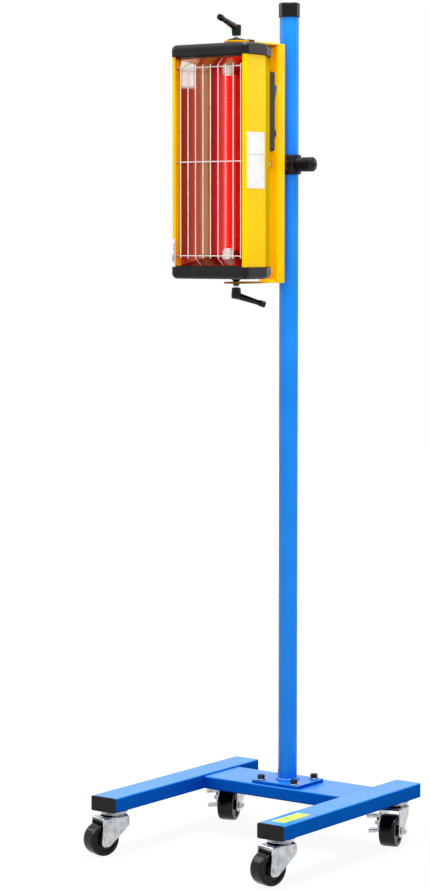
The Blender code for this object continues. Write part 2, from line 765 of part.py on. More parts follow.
def caster_brake():
    """The rocking brake plate about its pin along Y: a pointed plate with two lipped tabs for a foot."""
    half = BRAKE_PLATE_WIDTH / 2
    point = BRAKE_POINT_WIDTH / 2
    low = -BRAKE_BELOW_PIVOT
    outline = rounded([
        (-half, BRAKE_ABOVE_PIVOT, SHEET_CORNER), (-half, low / 2, SHEET_CORNER),
        (-point, low, SHEET_CORNER), (point, low, SHEET_CORNER),
        (half, low / 2, SHEET_CORNER), (half, BRAKE_ABOVE_PIVOT, SHEET_CORNER),
    ])
    body = plate([outline], BRAKE_PLATE_THICKNESS, ALONG_X)
    inner = -BRAKE_PLATE_THICKNESS / 2
    outer = inner - BRAKE_TAB_REACH
    upper = BRAKE_ABOVE_PIVOT - BRAKE_PLATE_THICKNESS
    lower = upper - BRAKE_TAB_SPACING
    tab_half = half - SHEET_CORNER
    steps = []
    for height in (upper, lower):
        top = height + BRAKE_PLATE_THICKNESS
        tab = box((outer, -tab_half, height), (-inner, tab_half, top))
        lip = box((outer, -tab_half, top - BRAKE_TAB_LIP), (inner, BRAKE_PLATE_THICKNESS - tab_half, top))
        steps.append(("UNION", tab))
        steps.append(("UNION", lip))
    span = half + RUNNING_GAP + BRAKE_EAR_THICKNESS
    pin = rod((0, -span, 0), (0, span, 0), BRAKE_PIN_DIAMETER / 2, sides=SMALL_SIDES)
    steps.append(("UNION", pin))
    return baked(body, *steps)


def make_casters(root, steel, wheel_finish):
    """Four casters; the rear two have the brake."""
    race = caster_race()
    wheel = caster_wheel()
    plain_fork, braked_fork = caster_fork(False), caster_fork(True)
    rivet, axle = caster_axle(AXLE_HEAD_HEIGHT), caster_axle(AXLE_NUT_HEIGHT)
    brake = caster_brake()
    for corner, turn in CASTER_TURNS.items():
        end, side = corner.split("_")
        rear = end == "rear"
        x = LEG_SPACING / 2 * (-1 if side == "left" else 1)
        y = leg_rear - CASTER_REAR_INSET if rear else leg_front + CASTER_FRONT_INSET
        swivel = axis_empty("caster_swivel_" + corner, root, (x, y, 0), turn)
        place("caster_race_" + corner, race, steel, swivel)
        place("caster_fork_" + corner, braked_fork if rear else plain_fork, steel, swivel)
        spin = axis_empty("wheel_axis_" + corner, swivel, (0, -CASTER_TRAIL, axle_height))
        place("caster_wheel_" + corner, wheel, wheel_finish, spin)
        place("caster_axle_" + corner, axle if rear else rivet, steel, spin)
        if rear:
            pivot = axis_empty("brake_axis_" + corner, swivel, brake_pivot())
            tilt = Matrix.Rotation(math.radians(-BRAKE_REST_TILT), 4, "Y")
            place("caster_brake_" + corner, brake, steel, pivot, tilt)


# Clamp, in frames at the height of the middle of the lamp

def make_clamp(slide, swivel, knob_axis, plastic):
    """The liner that slides on the post, the collar that turns on it and the knob."""
    collar_half = COLLAR_HEIGHT / 2
    lip_bottom = collar_half + RUNNING_GAP
    lip_top = lip_bottom + BUSH_LIP
    lip = bush_outer + BUSH_LIP_REACH
    profile = [
        (lip, lip_top), (lip, lip_bottom), (bush_outer, lip_bottom), (bush_outer, -lip_bottom),
        (lip, -lip_bottom), (lip, -lip_top), (bush_inner, -lip_top), (bush_inner, lip_top),
    ]
    place("clamp_bush", turned(profile, POST_SIDES, closed=True), plastic, slide)
    profile = [
        (collar_outer, collar_half), (collar_outer, -collar_half),
        (collar_inner, -collar_half), (collar_inner, collar_half),
    ]
    collar = place("clamp_collar", turned(profile, POST_SIDES, closed=True), plastic, swivel)
    neck_end = -WEB_REACH + YOKE_SHEET + SEAT_GAP
    neck_start = -collar_outer + NECK_SINK
    neck = rod((0, neck_end, 0), (0, neck_start, 0), collar_half - NECK_INSET)
    combine(collar, "UNION", "neck", neck)
    boss_end = collar_outer + KNOB_BOSS_REACH
    boss = rod((collar_outer - NECK_SINK, 0, 0), (boss_end, 0, 0), KNOB_BOSS_DIAMETER / 2)
    combine(collar, "UNION", "boss", boss)
    bore_height = collar_half + CUT_OVERRUN
    bore = rod((0, 0, -bore_height), (0, 0, bore_height), collar_inner, sides=POST_SIDES)
    combine(collar, "DIFFERENCE", "bore", bore)
    bolt_hole = rod(
        (0, neck_end - CUT_OVERRUN, 0), (0, neck_end + YOKE_BOLT_DEPTH, 0),
        YOKE_BOLT_DIAMETER / 2 + RUNNING_GAP, sides=SMALL_SIDES,
    )
    combine(collar, "DIFFERENCE", "bolt_hole", bolt_hole)
    screw_hole = rod(
        (collar_inner - NECK_SINK, 0, 0), (boss_end + CUT_OVERRUN, 0, 0),
        KNOB_SCREW_DIAMETER / 2 + RUNNING_GAP, sides=SMALL_SIDES,
    )
    combine(collar, "DIFFERENCE", "screw_hole", screw_hole)
    place("clamp_knob", clamp_knob(), plastic, knob_axis)


def clamp_knob():
    """A fluted knob about X with its clamping screw, its end a blunt cone."""
    start = collar_outer + KNOB_BOSS_REACH + RUNNING_GAP
    end = start + KNOB_LENGTH
    radius = KNOB_DIAMETER / 2
    tip = KNOB_TIP_DIAMETER / 2
    screw = KNOB_SCREW_DIAMETER / 2
    screw_end = bush_outer + SEAT_GAP
    cone_end = end + KNOB_CONE_LENGTH
    profile = [
        (0, cone_end), (tip, cone_end), (radius, end), (radius, start),
        (screw, start), (screw, screw_end), (0, screw_end),
    ]
    body = turned(profile, ROUND_SIDES, matrix=LYING_X)
    steps = []
    flute_line = radius - KNOB_FLUTE_DEPTH + KNOB_FLUTE_RADIUS
    for flute in range(KNOB_FLUTES):
        angle = 2 * math.pi * (flute + 0.5) / KNOB_FLUTES
        y, z = flute_line * math.cos(angle), flute_line * math.sin(angle)
        cutter = rod((start - CUT_OVERRUN, y, z), (cone_end, y, z), KNOB_FLUTE_RADIUS, sides=SMALL_SIDES)
        steps.append(("DIFFERENCE", cutter))
    return baked(body, *steps)


# Yoke, in the frame of the tilt axis

def make_yoke(tilt, paint, steel):
    """A channel up the back with an arm at each end, and the bolt that carries it."""
    half = YOKE_WIDTH / 2
    inner = half - YOKE_SHEET
    back = -WEB_REACH + YOKE_FLANGE
    channel = rounded([
        (-half, back, 0), (-inner, back, 0), (-inner, -WEB_REACH + YOKE_SHEET, 0),
        (inner, -WEB_REACH + YOKE_SHEET, 0), (inner, back, 0), (half, back, 0),
        (half, -WEB_REACH, SHEET_CORNER), (-half, -WEB_REACH, SHEET_CORNER),
    ])
    yoke = place("yoke", plate([channel], yoke_height, ALONG_Z), paint, tilt)
    stud_hole = circle((0, -PIVOT_REACH), STUD_DIAMETER / 2 + RUNNING_GAP, SMALL_SIDES)
    end = arc((0, -PIVOT_REACH), half, 180, 360, ROUND_SIDES // 2)
    arm_outline = [*end, (half, -WEB_REACH + YOKE_SHEET / 2), (-half, -WEB_REACH + YOKE_SHEET / 2)]
    for name, sign in (("top_arm", 1), ("bottom_arm", -1)):
        middle = sign * (arm_bottom + YOKE_SHEET / 2)
        arm = plate([arm_outline, stud_hole], YOKE_SHEET, Matrix.Translation((0, 0, middle)))
        combine(yoke, "UNION", name, arm)
    bolt_hole = rod(
        (0, -WEB_REACH - CUT_OVERRUN, 0), (0, -WEB_REACH + YOKE_SHEET + CUT_OVERRUN, 0),
        YOKE_BOLT_DIAMETER / 2 + RUNNING_GAP, sides=SMALL_SIDES,
    )
    combine(yoke, "DIFFERENCE", "bolt_hole", bolt_hole)
    head = YOKE_BOLT_HEAD / 2
    shank = YOKE_BOLT_DIAMETER / 2
    under_head = WEB_REACH + SEAT_GAP
    shank_end = WEB_REACH - YOKE_SHEET - YOKE_BOLT_DEPTH + 2 * SEAT_GAP
    profile = [
        (0, under_head + YOKE_BOLT_HEAD_HEIGHT), (YOKE_BOLT_CROWN / 2, under_head + YOKE_BOLT_HEAD_HEIGHT),
        (head, under_head + YOKE_BOLT_HEAD_HEIGHT / 2), (head, under_head),
        (shank, under_head), (shank, shank_end), (0, shank_end),
    ]
    forwards = Matrix.Rotation(math.radians(90), 4, "X")
    place("yoke_bolt", turned(profile, SMALL_SIDES, matrix=forwards), steel, tilt)


# Lamp head, in the frame of the pivot line at the middle of the head

def head_corners():
    """The plan of the head, anticlockwise from the front left."""
    half = HEAD_WIDTH / 2
    shoulder = -HEAD_FRONT + HEAD_SIDE_DEPTH
    rear = HEAD_REAR_WIDTH / 2
    return [
        (-half, -HEAD_FRONT), (half, -HEAD_FRONT), (half, shoulder),
        (rear, HEAD_REAR), (-rear, HEAD_REAR), (-half, shoulder),
    ]


def make_housing(turn, paint):
    """The bent sheet housing, open at the front between two lips."""
    front_left, front_right, shoulder_right, rear_right, rear_left, shoulder_left = head_corners()
    lip = front_right[0] - HOUSING_LIP
    path = rounded([
        (-lip, front_left[1], 0), (*front_left, HOUSING_CORNER), (*shoulder_left, HOUSING_CORNER),
        (*rear_left, HOUSING_CORNER), (*rear_right, HOUSING_CORNER), (*shoulder_right, HOUSING_CORNER),
        (*front_right, HOUSING_CORNER), (lip, front_right[1], 0),
    ], closed=False)
    height = cap_face - SEAT_GAP
    place("housing_shell", wall_along(path, -height, height, HOUSING_WALL, False), paint, turn)


def end_cap(sign):
    """A moulded end cap with a spigot into the housing and the boss under the yoke's arm."""
    outer = offset_corners(head_corners(), CAP_OVERHANG)
    inner = offset_corners(head_corners(), -HOUSING_WALL - SEAT_GAP)
    body_at = Matrix.Translation((0, 0, head_top - CAP_HEIGHT / 2))
    body = plate([rounded([(*at, CAP_CORNER) for at in outer])], CAP_HEIGHT, body_at)
    body = bevelled(body, CAP_EDGE, lambda edge: min(v.co.z for v in edge.verts) > head_top - SEAT_GAP)
    overlap = CAP_HEIGHT / 2
    spigot_height = CAP_SPIGOT + overlap
    spigot_at = Matrix.Translation((0, 0, spigot_face + spigot_height / 2))
    spigot = plate([rounded([(*at, HOUSING_CORNER) for at in inner])], spigot_height, spigot_at)
    boss = rod(
        (0, 0, head_top - overlap), (0, 0, arm_bottom - RUNNING_GAP),
        BOSS_BASE_DIAMETER / 2, BOSS_TOP_DIAMETER / 2,
    )
    hole = rod(
        (0, 0, head_top - STUD_SINK), (0, 0, arm_bottom + CUT_OVERRUN),
        STUD_DIAMETER / 2 + SEAT_GAP, sides=SMALL_SIDES,
    )
    mesh = baked(body, ("UNION", spigot), ("UNION", boss), ("DIFFERENCE", hole))
    if sign < 0:
        mesh.transform(Matrix.Rotation(math.pi, 4, "Y"))
    return mesh


def reflector_curve(clearance=0.0):
    """The trough in plan: a parabola from wing to wing round the tube."""
    half = reflector_half - REFLECTOR_WALL - clearance
    points = []
    for step in range(REFLECTOR_STEPS + 1):
        share = 2 * step / REFLECTOR_STEPS - 1
        points.append((half * share, reflector_back - clearance - REFLECTOR_DEPTH * share * share))
    return points


def make_reflector(turn, polished):
    """The trough and the slanting plates that close its ends."""
    height = spigot_face - SEAT_GAP
    place("reflector", wall_along(reflector_curve(), -height, height, REFLECTOR_WALL, True), polished, turn)
    slope = math.atan2(END_PLATE_DROP, REFLECTOR_DEPTH)
    for name, sign in (("reflector_end_top", 1), ("reflector_end_bottom", -1)):
        inside = plate([reflector_curve(SEAT_GAP)], 2 * height, ALONG_Z)
        end = place(name, inside, polished, turn)
        slab = box((-HEAD_WIDTH, 0, -REFLECTOR_WALL), (HEAD_WIDTH, HEAD_WIDTH, 0))
        slab.transform(Matrix.Rotation(-slope, 4, "X"))
        slab.transform(Matrix.Translation((0, reflector_front, height)))
        if sign < 0:
            slab.transform(Matrix.Rotation(math.pi, 4, "Y"))
        combine(end, "INTERSECT", "slab", slab)
        hole = rod(
            (0, tube_y, -sign * CUT_OVERRUN), (0, tube_y, sign * HEAD_HEIGHT),
            SOCKET_DIAMETER / 2 + SEAT_GAP,
        )
        combine(end, "DIFFERENCE", "socket_hole", hole)


def make_tube(turn, quartz, ceramic):
    """The quartz tube with its ceramic bases, held by a socket on each end cap."""
    base = TUBE_BASE_DIAMETER / 2
    tube = TUBE_DIAMETER / 2
    neck = tube_half - TUBE_BASE_LENGTH
    profile = [
        (0, tube_half), (base, tube_half), (base, neck), (tube, neck),
        (tube, -neck), (base, -neck), (base, -tube_half), (0, -tube_half),
    ]
    at_tube = Matrix.Translation((0, tube_y, 0))
    place("quartz_tube", turned(profile, ROUND_SIDES, matrix=at_tube), quartz, turn)
    outer = SOCKET_DIAMETER / 2
    bore = base + SEAT_GAP
    top = spigot_face - SEAT_GAP
    floor = tube_half + SEAT_GAP
    mouth = neck + SOCKET_MOUTH_INSET
    for name, sign in (("tube_socket_top", 1), ("tube_socket_bottom", -1)):
        profile = [(0, top), (outer, top), (outer, mouth), (bore, mouth), (bore, floor), (0, floor)]
        socket = turned(profile, ROUND_SIDES, matrix=at_tube)
        if sign < 0:
            socket.transform(Matrix.Rotation(math.pi, 4, "Y"))
        place(name, socket, ceramic, turn)


def make_guard(turn, wire_finish):
    """A welded wire guard: upright bars on three rails, two of the bars reaching both end caps."""
    radius = GUARD_WIRE / 2
    bar_y = -HEAD_FRONT + GUARD_SETBACK
    rail_y = bar_y + GUARD_WIRE - GUARD_WELD
    rail_half = HEAD_WIDTH / 2 - HOUSING_WALL - SEAT_GAP
    short = guard_rail_height + GUARD_BAR_TAIL
    long_bar = spigot_face - SEAT_GAP
    bars = []
    for bar in range(-guard_side_bars, guard_side_bars + 1):
        x = bar * GUARD_PITCH
        reach = long_bar if abs(bar) == guard_side_bars // 2 else short
        bars.append(rod((x, bar_y, -reach), (x, bar_y, reach), radius, sides=WIRE_SIDES))
    rails = []
    for height in (-guard_rail_height, 0, guard_rail_height):
        rail = rod((-rail_half, rail_y, height), (rail_half, rail_y, height), radius, sides=WIRE_SIDES)
        rails.append(rail)
    guard = place("wire_guard", rails[0], wire_finish, turn)
    for number, mesh in enumerate(bars + rails[1:], 1):
        combine(guard, "UNION", "wire_%d" % number, mesh)


def make_control_box(turn, rocker_axis, plastic):
    """The switch box on the back of the head, its rocker, the gland and the terminals behind it."""
    face = HEAD_REAR + SEAT_GAP
    panel = face + BOX_DEPTH
    half_x, half_z = BOX_WIDTH / 2, BOX_HEIGHT / 2
    outer = rectangle(BOX_WIDTH, BOX_HEIGHT, BOX_CORNER, (BOX_CENTRE_X, box_centre_z))
    shell = plate([outer], BOX_DEPTH, Matrix.Translation((0, face + BOX_DEPTH / 2, 0)) @ ALONG_Y)
    rear_edge = panel - SEAT_GAP
    shell = bevelled(shell, BOX_CORNER / 2, lambda edge: min(v.co.y for v in edge.verts) > rear_edge)
    switch_box = place("control_box", shell, plastic, turn)
    combine(switch_box, "DIFFERENCE", "inside", box(
        (BOX_CENTRE_X - half_x + BOX_WALL, face - CUT_OVERRUN, box_centre_z - half_z + BOX_WALL),
        (BOX_CENTRE_X + half_x - BOX_WALL, panel - BOX_WALL, box_centre_z + half_z - BOX_WALL),
    ))
    rocker_z = box_centre_z + half_z - ROCKER_FROM_TOP
    cheek_inner = ROCKER_WIDTH / 2 + RUNNING_GAP
    cheek_outer = min(cheek_inner + ROCKER_CHEEK, half_x - BOX_WALL / 2)
    cheek_depth = ROCKER_PIVOT_DEPTH + ROCKER_PIN_DIAMETER + BOX_WALL
    cheek_half = ROCKER_PIN_DIAMETER + BOX_WALL
    for name, sign in (("left_cheek", -1), ("right_cheek", 1)):
        ends = sorted((BOX_CENTRE_X + sign * cheek_inner, BOX_CENTRE_X + sign * cheek_outer))
        combine(switch_box, "UNION", name, box(
            (ends[0], panel - cheek_depth, rocker_z - cheek_half),
            (ends[1], panel - BOX_WALL / 2, rocker_z + cheek_half),
        ))
    tilt = math.radians(ROCKER_TILT)
    window_half = (
        ROCKER_LENGTH / 2 * math.cos(tilt) + ROCKER_FACE_RISE * math.sin(tilt) + RUNNING_GAP
    )
    combine(switch_box, "DIFFERENCE", "window", box(
        (BOX_CENTRE_X - cheek_inner, panel - BOX_WALL - CUT_OVERRUN, rocker_z - window_half),
        (BOX_CENTRE_X + cheek_inner, panel + CUT_OVERRUN, rocker_z + window_half),
    ))
    pin_end = ROCKER_WIDTH / 2 + ROCKER_PIN_REACH
    hole_end = pin_end + RUNNING_GAP
    pivot_y = panel - ROCKER_PIVOT_DEPTH
    combine(switch_box, "DIFFERENCE", "pin_hole", rod(
        (BOX_CENTRE_X - hole_end, pivot_y, rocker_z), (BOX_CENTRE_X + hole_end, pivot_y, rocker_z),
        ROCKER_PIN_DIAMETER / 2 + RUNNING_GAP, sides=SMALL_SIDES,
    ))
    gland_z = box_centre_z - half_z + GLAND_FROM_BOTTOM
    stem = GLAND_STEM_DIAMETER / 2
    combine(switch_box, "DIFFERENCE", "gland_hole", rod(
        (BOX_CENTRE_X, panel - BOX_WALL - CUT_OVERRUN, gland_z),
        (BOX_CENTRE_X, panel + CUT_OVERRUN, gland_z), stem + SEAT_GAP,
    ))
    rim = GLAND_DIAMETER / 2
    bore = GLAND_BORE / 2
    gland_profile = [
        (rim - GLAND_CHAMFER, GLAND_HEIGHT), (rim, GLAND_HEIGHT - GLAND_CHAMFER), (rim, SEAT_GAP),
        (stem, SEAT_GAP),
        (stem, -BOX_WALL - GLAND_HEIGHT / 2), (bore, -BOX_WALL - GLAND_HEIGHT / 2), (bore, GLAND_HEIGHT),
    ]
    backwards = Matrix.Rotation(math.radians(-90), 4, "X")
    at_gland = Matrix.Translation((BOX_CENTRE_X, panel, gland_z))
    gland = turned(gland_profile, ROUND_SIDES, closed=True, matrix=at_gland @ backwards)
    place("cord_gland", gland, plastic, turn)
    place("power_rocker", power_rocker(), plastic, rocker_axis, Matrix.Rotation(-tilt, 4, "X"))
    inside_rear = HEAD_REAR - HOUSING_WALL - SEAT_GAP
    place("terminal_block", box(
        (-TERMINAL_WIDTH / 2, inside_rear - TERMINAL_DEPTH, box_centre_z - TERMINAL_HEIGHT / 2),
        (TERMINAL_WIDTH / 2, inside_rear, box_centre_z + TERMINAL_HEIGHT / 2),
    ), plastic, turn)


def power_rocker():
    """The rocker about its pins along X, its flat face towards +Y."""
    half = ROCKER_LENGTH / 2
    foot = ROCKER_FOOT / 2
    outline = rounded([
        (ROCKER_FACE_RISE, -half, 0), (ROCKER_FACE_RISE, half, 0),
        (ROCKER_FACE_RISE - ROCKER_SKIRT, half, 0), (-foot, foot, foot), (-foot, -foot, foot),
        (ROCKER_FACE_RISE - ROCKER_SKIRT, -half, 0),
    ])
    body = plate([outline], ROCKER_WIDTH, ALONG_X)
    pin_end = ROCKER_WIDTH / 2 + ROCKER_PIN_REACH
    pins = rod((-pin_end, 0, 0), (pin_end, 0, 0), ROCKER_PIN_DIAMETER / 2, sides=SMALL_SIDES)
    return baked(body, ("UNION", pins))


# Pivots and levers

def make_pivots(turn, tilt, upper_axis, lower_axis, plastic, steel):
    """Studs in the end caps, a clamping lever on each, and what the levers stand on."""
    radius = STUD_DIAMETER / 2
    washer_bottom = arm_top + SEAT_GAP
    washer_top = washer_bottom + WASHER_HEIGHT
    spacer_end = washer_bottom + LOWER_SPACER_HEIGHT
    bottom = head_top - STUD_SINK + SEAT_GAP
    into_lever = LEVER_BORE_DEPTH - SEAT_GAP
    studs = (
        ("pivot_stud_top", 1, washer_top + SEAT_GAP + into_lever),
        ("pivot_stud_bottom", -1, spacer_end + SEAT_GAP + into_lever),
    )
    for name, sign, top in studs:
        place(name, rod((0, 0, sign * bottom), (0, 0, sign * top), radius, sides=SMALL_SIDES), steel, turn)
    at_pivot = Matrix.Translation((0, -PIVOT_REACH, 0))
    hole = radius + RUNNING_GAP
    profile = [
        (WASHER_TOP_DIAMETER / 2, washer_top), (WASHER_DIAMETER / 2, washer_bottom + TONGUE_THICKNESS),
        (WASHER_DIAMETER / 2, washer_bottom), (hole, washer_bottom), (hole, washer_top),
    ]
    cone = turned(profile, ROUND_SIDES, closed=True, matrix=at_pivot)
    washer = place("tension_washer", cone, plastic, tilt)
    edge = YOKE_WIDTH / 2 + SEAT_GAP
    low_y = -PIVOT_REACH + TONGUE_OFFSET - TONGUE_WIDTH / 2
    tongue_top = washer_bottom + TONGUE_THICKNESS
    tongue = rounded([
        (WASHER_TOP_DIAMETER / 2, washer_bottom, 0), (edge, washer_bottom, 0),
        (edge, arm_top - TONGUE_DROP, 0), (edge + TONGUE_THICKNESS, arm_top - TONGUE_DROP, 0),
        (edge + TONGUE_THICKNESS, tongue_top, TONGUE_THICKNESS / 2),
        (WASHER_TOP_DIAMETER / 2, tongue_top, 0),
    ])
    tongue_at = Matrix.Translation((0, low_y + TONGUE_WIDTH / 2, 0))
    combine(washer, "UNION", "tongue", plate([tongue], TONGUE_WIDTH, tongue_at @ ALONG_Y))
    ring = LOWER_SPACER_DIAMETER / 2
    profile = [(ring, -washer_bottom), (ring, -spacer_end), (hole, -spacer_end), (hole, -washer_bottom)]
    place("lower_spacer", turned(profile, ROUND_SIDES, closed=True, matrix=at_pivot), plastic, tilt)
    lever = clamp_lever()
    place("clamp_lever_top", lever, plastic, upper_axis)
    upside_down = Matrix.Rotation(math.pi, 4, "X")
    place("clamp_lever_bottom", lever, plastic, lower_axis, upside_down)


def clamp_lever():
    """A clamping lever about Z, standing on its metal neck, its arm rising towards -Y."""
    neck = LEVER_NECK_DIAMETER / 2
    hub = LEVER_HUB_DIAMETER / 2
    hub_top = LEVER_NECK_LENGTH + LEVER_HUB_HEIGHT
    edge = arc((hub - LEVER_HUB_ROUND, hub_top - LEVER_HUB_ROUND), LEVER_HUB_ROUND, 90, 0, CORNER_STEPS)
    profile = [
        (0, hub_top), *edge, (LEVER_FOOT_DIAMETER / 2, LEVER_NECK_LENGTH),
        (neck, LEVER_NECK_LENGTH), (neck, 0), (0, 0),
    ]
    body = turned(profile, ROUND_SIDES)
    root_height = hub_top - LEVER_ROOT_DIAMETER / 2
    tip_height = root_height + LEVER_RISE
    start = Vector((0, 0, root_height))
    end = Vector((0, -LEVER_REACH, tip_height))
    arm = rod(start, end, LEVER_ROOT_DIAMETER / 2, LEVER_TIP_DIAMETER / 2, sides=SMALL_SIDES)
    work = bmesh.new()
    bmesh.ops.create_uvsphere(
        work, u_segments=SMALL_SIDES, v_segments=SMALL_SIDES // 2, radius=LEVER_END_DIAMETER / 2,
        matrix=Matrix.Translation(end),
    )
    ball = mesh_from(work)
    bore_radius = STUD_DIAMETER / 2 + RUNNING_GAP
    bore = rod((0, 0, -CUT_OVERRUN), (0, 0, LEVER_BORE_DEPTH), bore_radius, sides=SMALL_SIDES)
    return baked(body, ("UNION", arm), ("UNION", ball), ("DIFFERENCE", bore))


# Assembly

def build():
    blue = finish_material("blue_paint", "1E6FE0", 0.35)
    yellow = finish_material("yellow_paint", "FFC800", 0.35)
    black = finish_material("black_plastic", "26262A", 0.45)
    zinc = finish_material("zinc_steel", "B9BBBD", 0.35, 1.0)
    wheel_black = finish_material("wheel_black", "151516", 0.30)
    polished = finish_material("polished_aluminium", "D8D4D2", 0.12, 1.0)
    quartz = finish_material("hot_quartz", "FF3020", 0.20, 0.0, 2.0)
    ceramic = finish_material("ceramic", "EDE8DE", 0.55)
    wire = finish_material("bright_wire", "C9C6C4", 0.20, 1.0)

    root = axis_empty("post_axis", None, (0, post_y, 0))
    for side, sign in (("left", -1), ("right", 1)):
        make_leg(side, sign, root, blue, black)
    make_cross_member(root, blue)
    make_post(root, blue, black, zinc)
    make_casters(root, zinc, wheel_black)

    slide = axis_empty("slide_axis", root, (0, 0, LAMP_HEIGHT))
    swivel = axis_empty("swivel_axis", slide)
    knob_axis = axis_empty("knob_axis", swivel)
    tilt = axis_empty("tilt_axis", swivel)
    turn = axis_empty("turn_axis", tilt, (0, -PIVOT_REACH, 0))
    make_clamp(slide, swivel, knob_axis, black)
    make_yoke(tilt, yellow, zinc)

    make_housing(turn, yellow)
    place("top_cap", end_cap(1), black, turn)
    place("bottom_cap", end_cap(-1), black, turn)
    make_reflector(turn, polished)
    make_tube(turn, quartz, ceramic)
    make_guard(turn, wire)
    rocker_z = box_centre_z + BOX_HEIGHT / 2 - ROCKER_FROM_TOP
    rocker_y = HEAD_REAR + SEAT_GAP + BOX_DEPTH - ROCKER_PIVOT_DEPTH
    rocker_axis = axis_empty("rocker_axis", turn, (BOX_CENTRE_X, rocker_y, rocker_z))
    make_control_box(turn, rocker_axis, black)

    upper_stand = arm_top + SEAT_GAP + WASHER_HEIGHT + SEAT_GAP
    lower_stand = -(arm_top + SEAT_GAP + LOWER_SPACER_HEIGHT + SEAT_GAP)
    upper_axis = axis_empty("upper_lever_axis", tilt, (0, -PIVOT_REACH, upper_stand), UPPER_LEVER_TURN)
    lower_axis = axis_empty("lower_lever_axis", tilt, (0, -PIVOT_REACH, lower_stand), LOWER_LEVER_TURN)
    make_pivots(turn, tilt, upper_axis, lower_axis, black, zinc)


for old in list(bpy.data.objects):
    bpy.data.objects.remove(old, do_unlink=True)
parts = bpy.data.collections.new("infrared_curing_lamp")
cutters = bpy.data.collections.new("cutters")
bpy.context.scene.collection.children.link(parts)
bpy.context.scene.collection.children.link(cutters)
build()
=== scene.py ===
# Looks of an infrared paint curing lamp on a wheeled stand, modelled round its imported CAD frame.
import json
import math

import bmesh
import bpy
from mathutils import Matrix, Vector


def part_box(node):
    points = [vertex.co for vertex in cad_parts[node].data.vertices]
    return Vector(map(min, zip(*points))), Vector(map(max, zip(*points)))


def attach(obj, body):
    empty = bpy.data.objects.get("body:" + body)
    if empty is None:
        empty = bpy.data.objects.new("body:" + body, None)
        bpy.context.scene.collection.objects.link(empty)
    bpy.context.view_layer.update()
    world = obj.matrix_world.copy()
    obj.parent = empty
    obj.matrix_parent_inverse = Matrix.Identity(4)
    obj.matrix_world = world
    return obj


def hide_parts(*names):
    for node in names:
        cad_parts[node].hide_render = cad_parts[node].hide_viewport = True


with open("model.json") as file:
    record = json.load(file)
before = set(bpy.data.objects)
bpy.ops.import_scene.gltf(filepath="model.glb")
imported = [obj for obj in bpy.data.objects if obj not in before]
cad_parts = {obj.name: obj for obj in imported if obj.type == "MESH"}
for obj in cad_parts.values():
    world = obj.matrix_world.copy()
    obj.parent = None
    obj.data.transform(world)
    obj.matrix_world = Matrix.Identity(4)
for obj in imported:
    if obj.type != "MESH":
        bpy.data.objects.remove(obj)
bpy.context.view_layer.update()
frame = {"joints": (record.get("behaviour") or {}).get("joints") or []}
joints = {joint["name"]: joint for joint in frame["joints"]}
mm = 0.001


# small tools for outlines, all in metres

def arcPoints(centre, radius, startAngle, endAngle, steps):
    angles = [math.radians(startAngle + (endAngle - startAngle) * i / steps) for i in range(steps + 1)]
    return [(centre[0] + radius * math.cos(a), centre[1] + radius * math.sin(a)) for a in angles]


def filleted(corners, steps=6, closed=True):
    # corners are (x, y, radius), and each is rounded with its own radius
    outline = []
    last = len(corners) - 1
    for i, (x, y, radius) in enumerate(corners):
        here = Vector((x, y))
        if radius == 0 or (not closed and i in (0, last)):
            outline.append((x, y))
            continue
        before = Vector(corners[i - 1][:2]) - here
        after = Vector(corners[(i + 1) % (last + 1)][:2]) - here
        half = before.angle(after) / 2
        inset = min(radius / math.tan(half), before.length / 2, after.length / 2)
        trueRadius = inset * math.tan(half)
        centre = here + (before.normalized() + after.normalized()).normalized() * (trueRadius / math.sin(half))
        first = here + before.normalized() * inset - centre
        turn = first.angle_signed(here + after.normalized() * inset - centre)
        for step in range(steps + 1):
            spoke = first.copy()
            spoke.rotate(Matrix.Rotation(-turn * step / steps, 2))
            outline.append(tuple(centre + spoke))
    return outline


def roundedBox(width, height, radius, steps=6, centre=(0, 0)):
    x, y = centre
    w, h = width / 2, height / 2
    corners = [(x - w, y - h), (x + w, y - h), (x + w, y + h), (x - w, y + h)]
    return filleted([(*corner, radius) for corner in corners], steps)


def bentSheet(corners, thickness, steps=6):
    # the outline of a bent sheet whose wall lies to the left of an open path of (x, y, radius) corners
    inner = []
    for i, (x, y, radius) in enumerate(corners):
        sides = [(Vector(b[:2]) - Vector(a[:2])).normalized() for a, b in zip(corners, corners[1:])][max(i - 1, 0):i + 1]
        lefts = [Vector((-side.y, side.x)) for side in sides]
        middle = sum(lefts, Vector((0, 0))).normalized()
        inner.append((*(Vector((x, y)) + middle * (thickness / middle.dot(lefts[0]))), max(radius - thickness, 0)))
    return filleted(corners, steps, False) + filleted(inner[::-1], steps, False)


def grown(corners, distance):
    # the corners of an anticlockwise outline, moved out by a distance
    result = []
    for i, (x, y) in enumerate(corners):
        here = Vector((x, y))
        before = (here - Vector(corners[i - 1])).normalized()
        after = (Vector(corners[(i + 1) % len(corners)]) - here).normalized()
        outs = [Vector((side.y, -side.x)) for side in (before, after)]
        middle = (outs[0] + outs[1]).normalized()
        result.append(tuple(here + middle * (distance / middle.dot(outs[0]))))
    return result


def softPath(points, radius, steps=6):
    # a 3D path with its inner corners bent round
    path = [Vector(points[0])]
    for before, here, after in zip(points, points[1:], points[2:]):
        here = Vector(here)
        back = (Vector(before) - here)
        ahead = (Vector(after) - here)
        reach = min(radius, back.length / 2, ahead.length / 2)
        start = here + back.normalized() * reach
        end = here + ahead.normalized() * reach
        for i in range(steps + 1):
            t = i / steps
            path.append(start * (1 - t) ** 2 + here * 2 * t * (1 - t) + end * t * t)
    path.append(Vector(points[-1]))
    return path


# small tools for shapes: each gives a bmesh

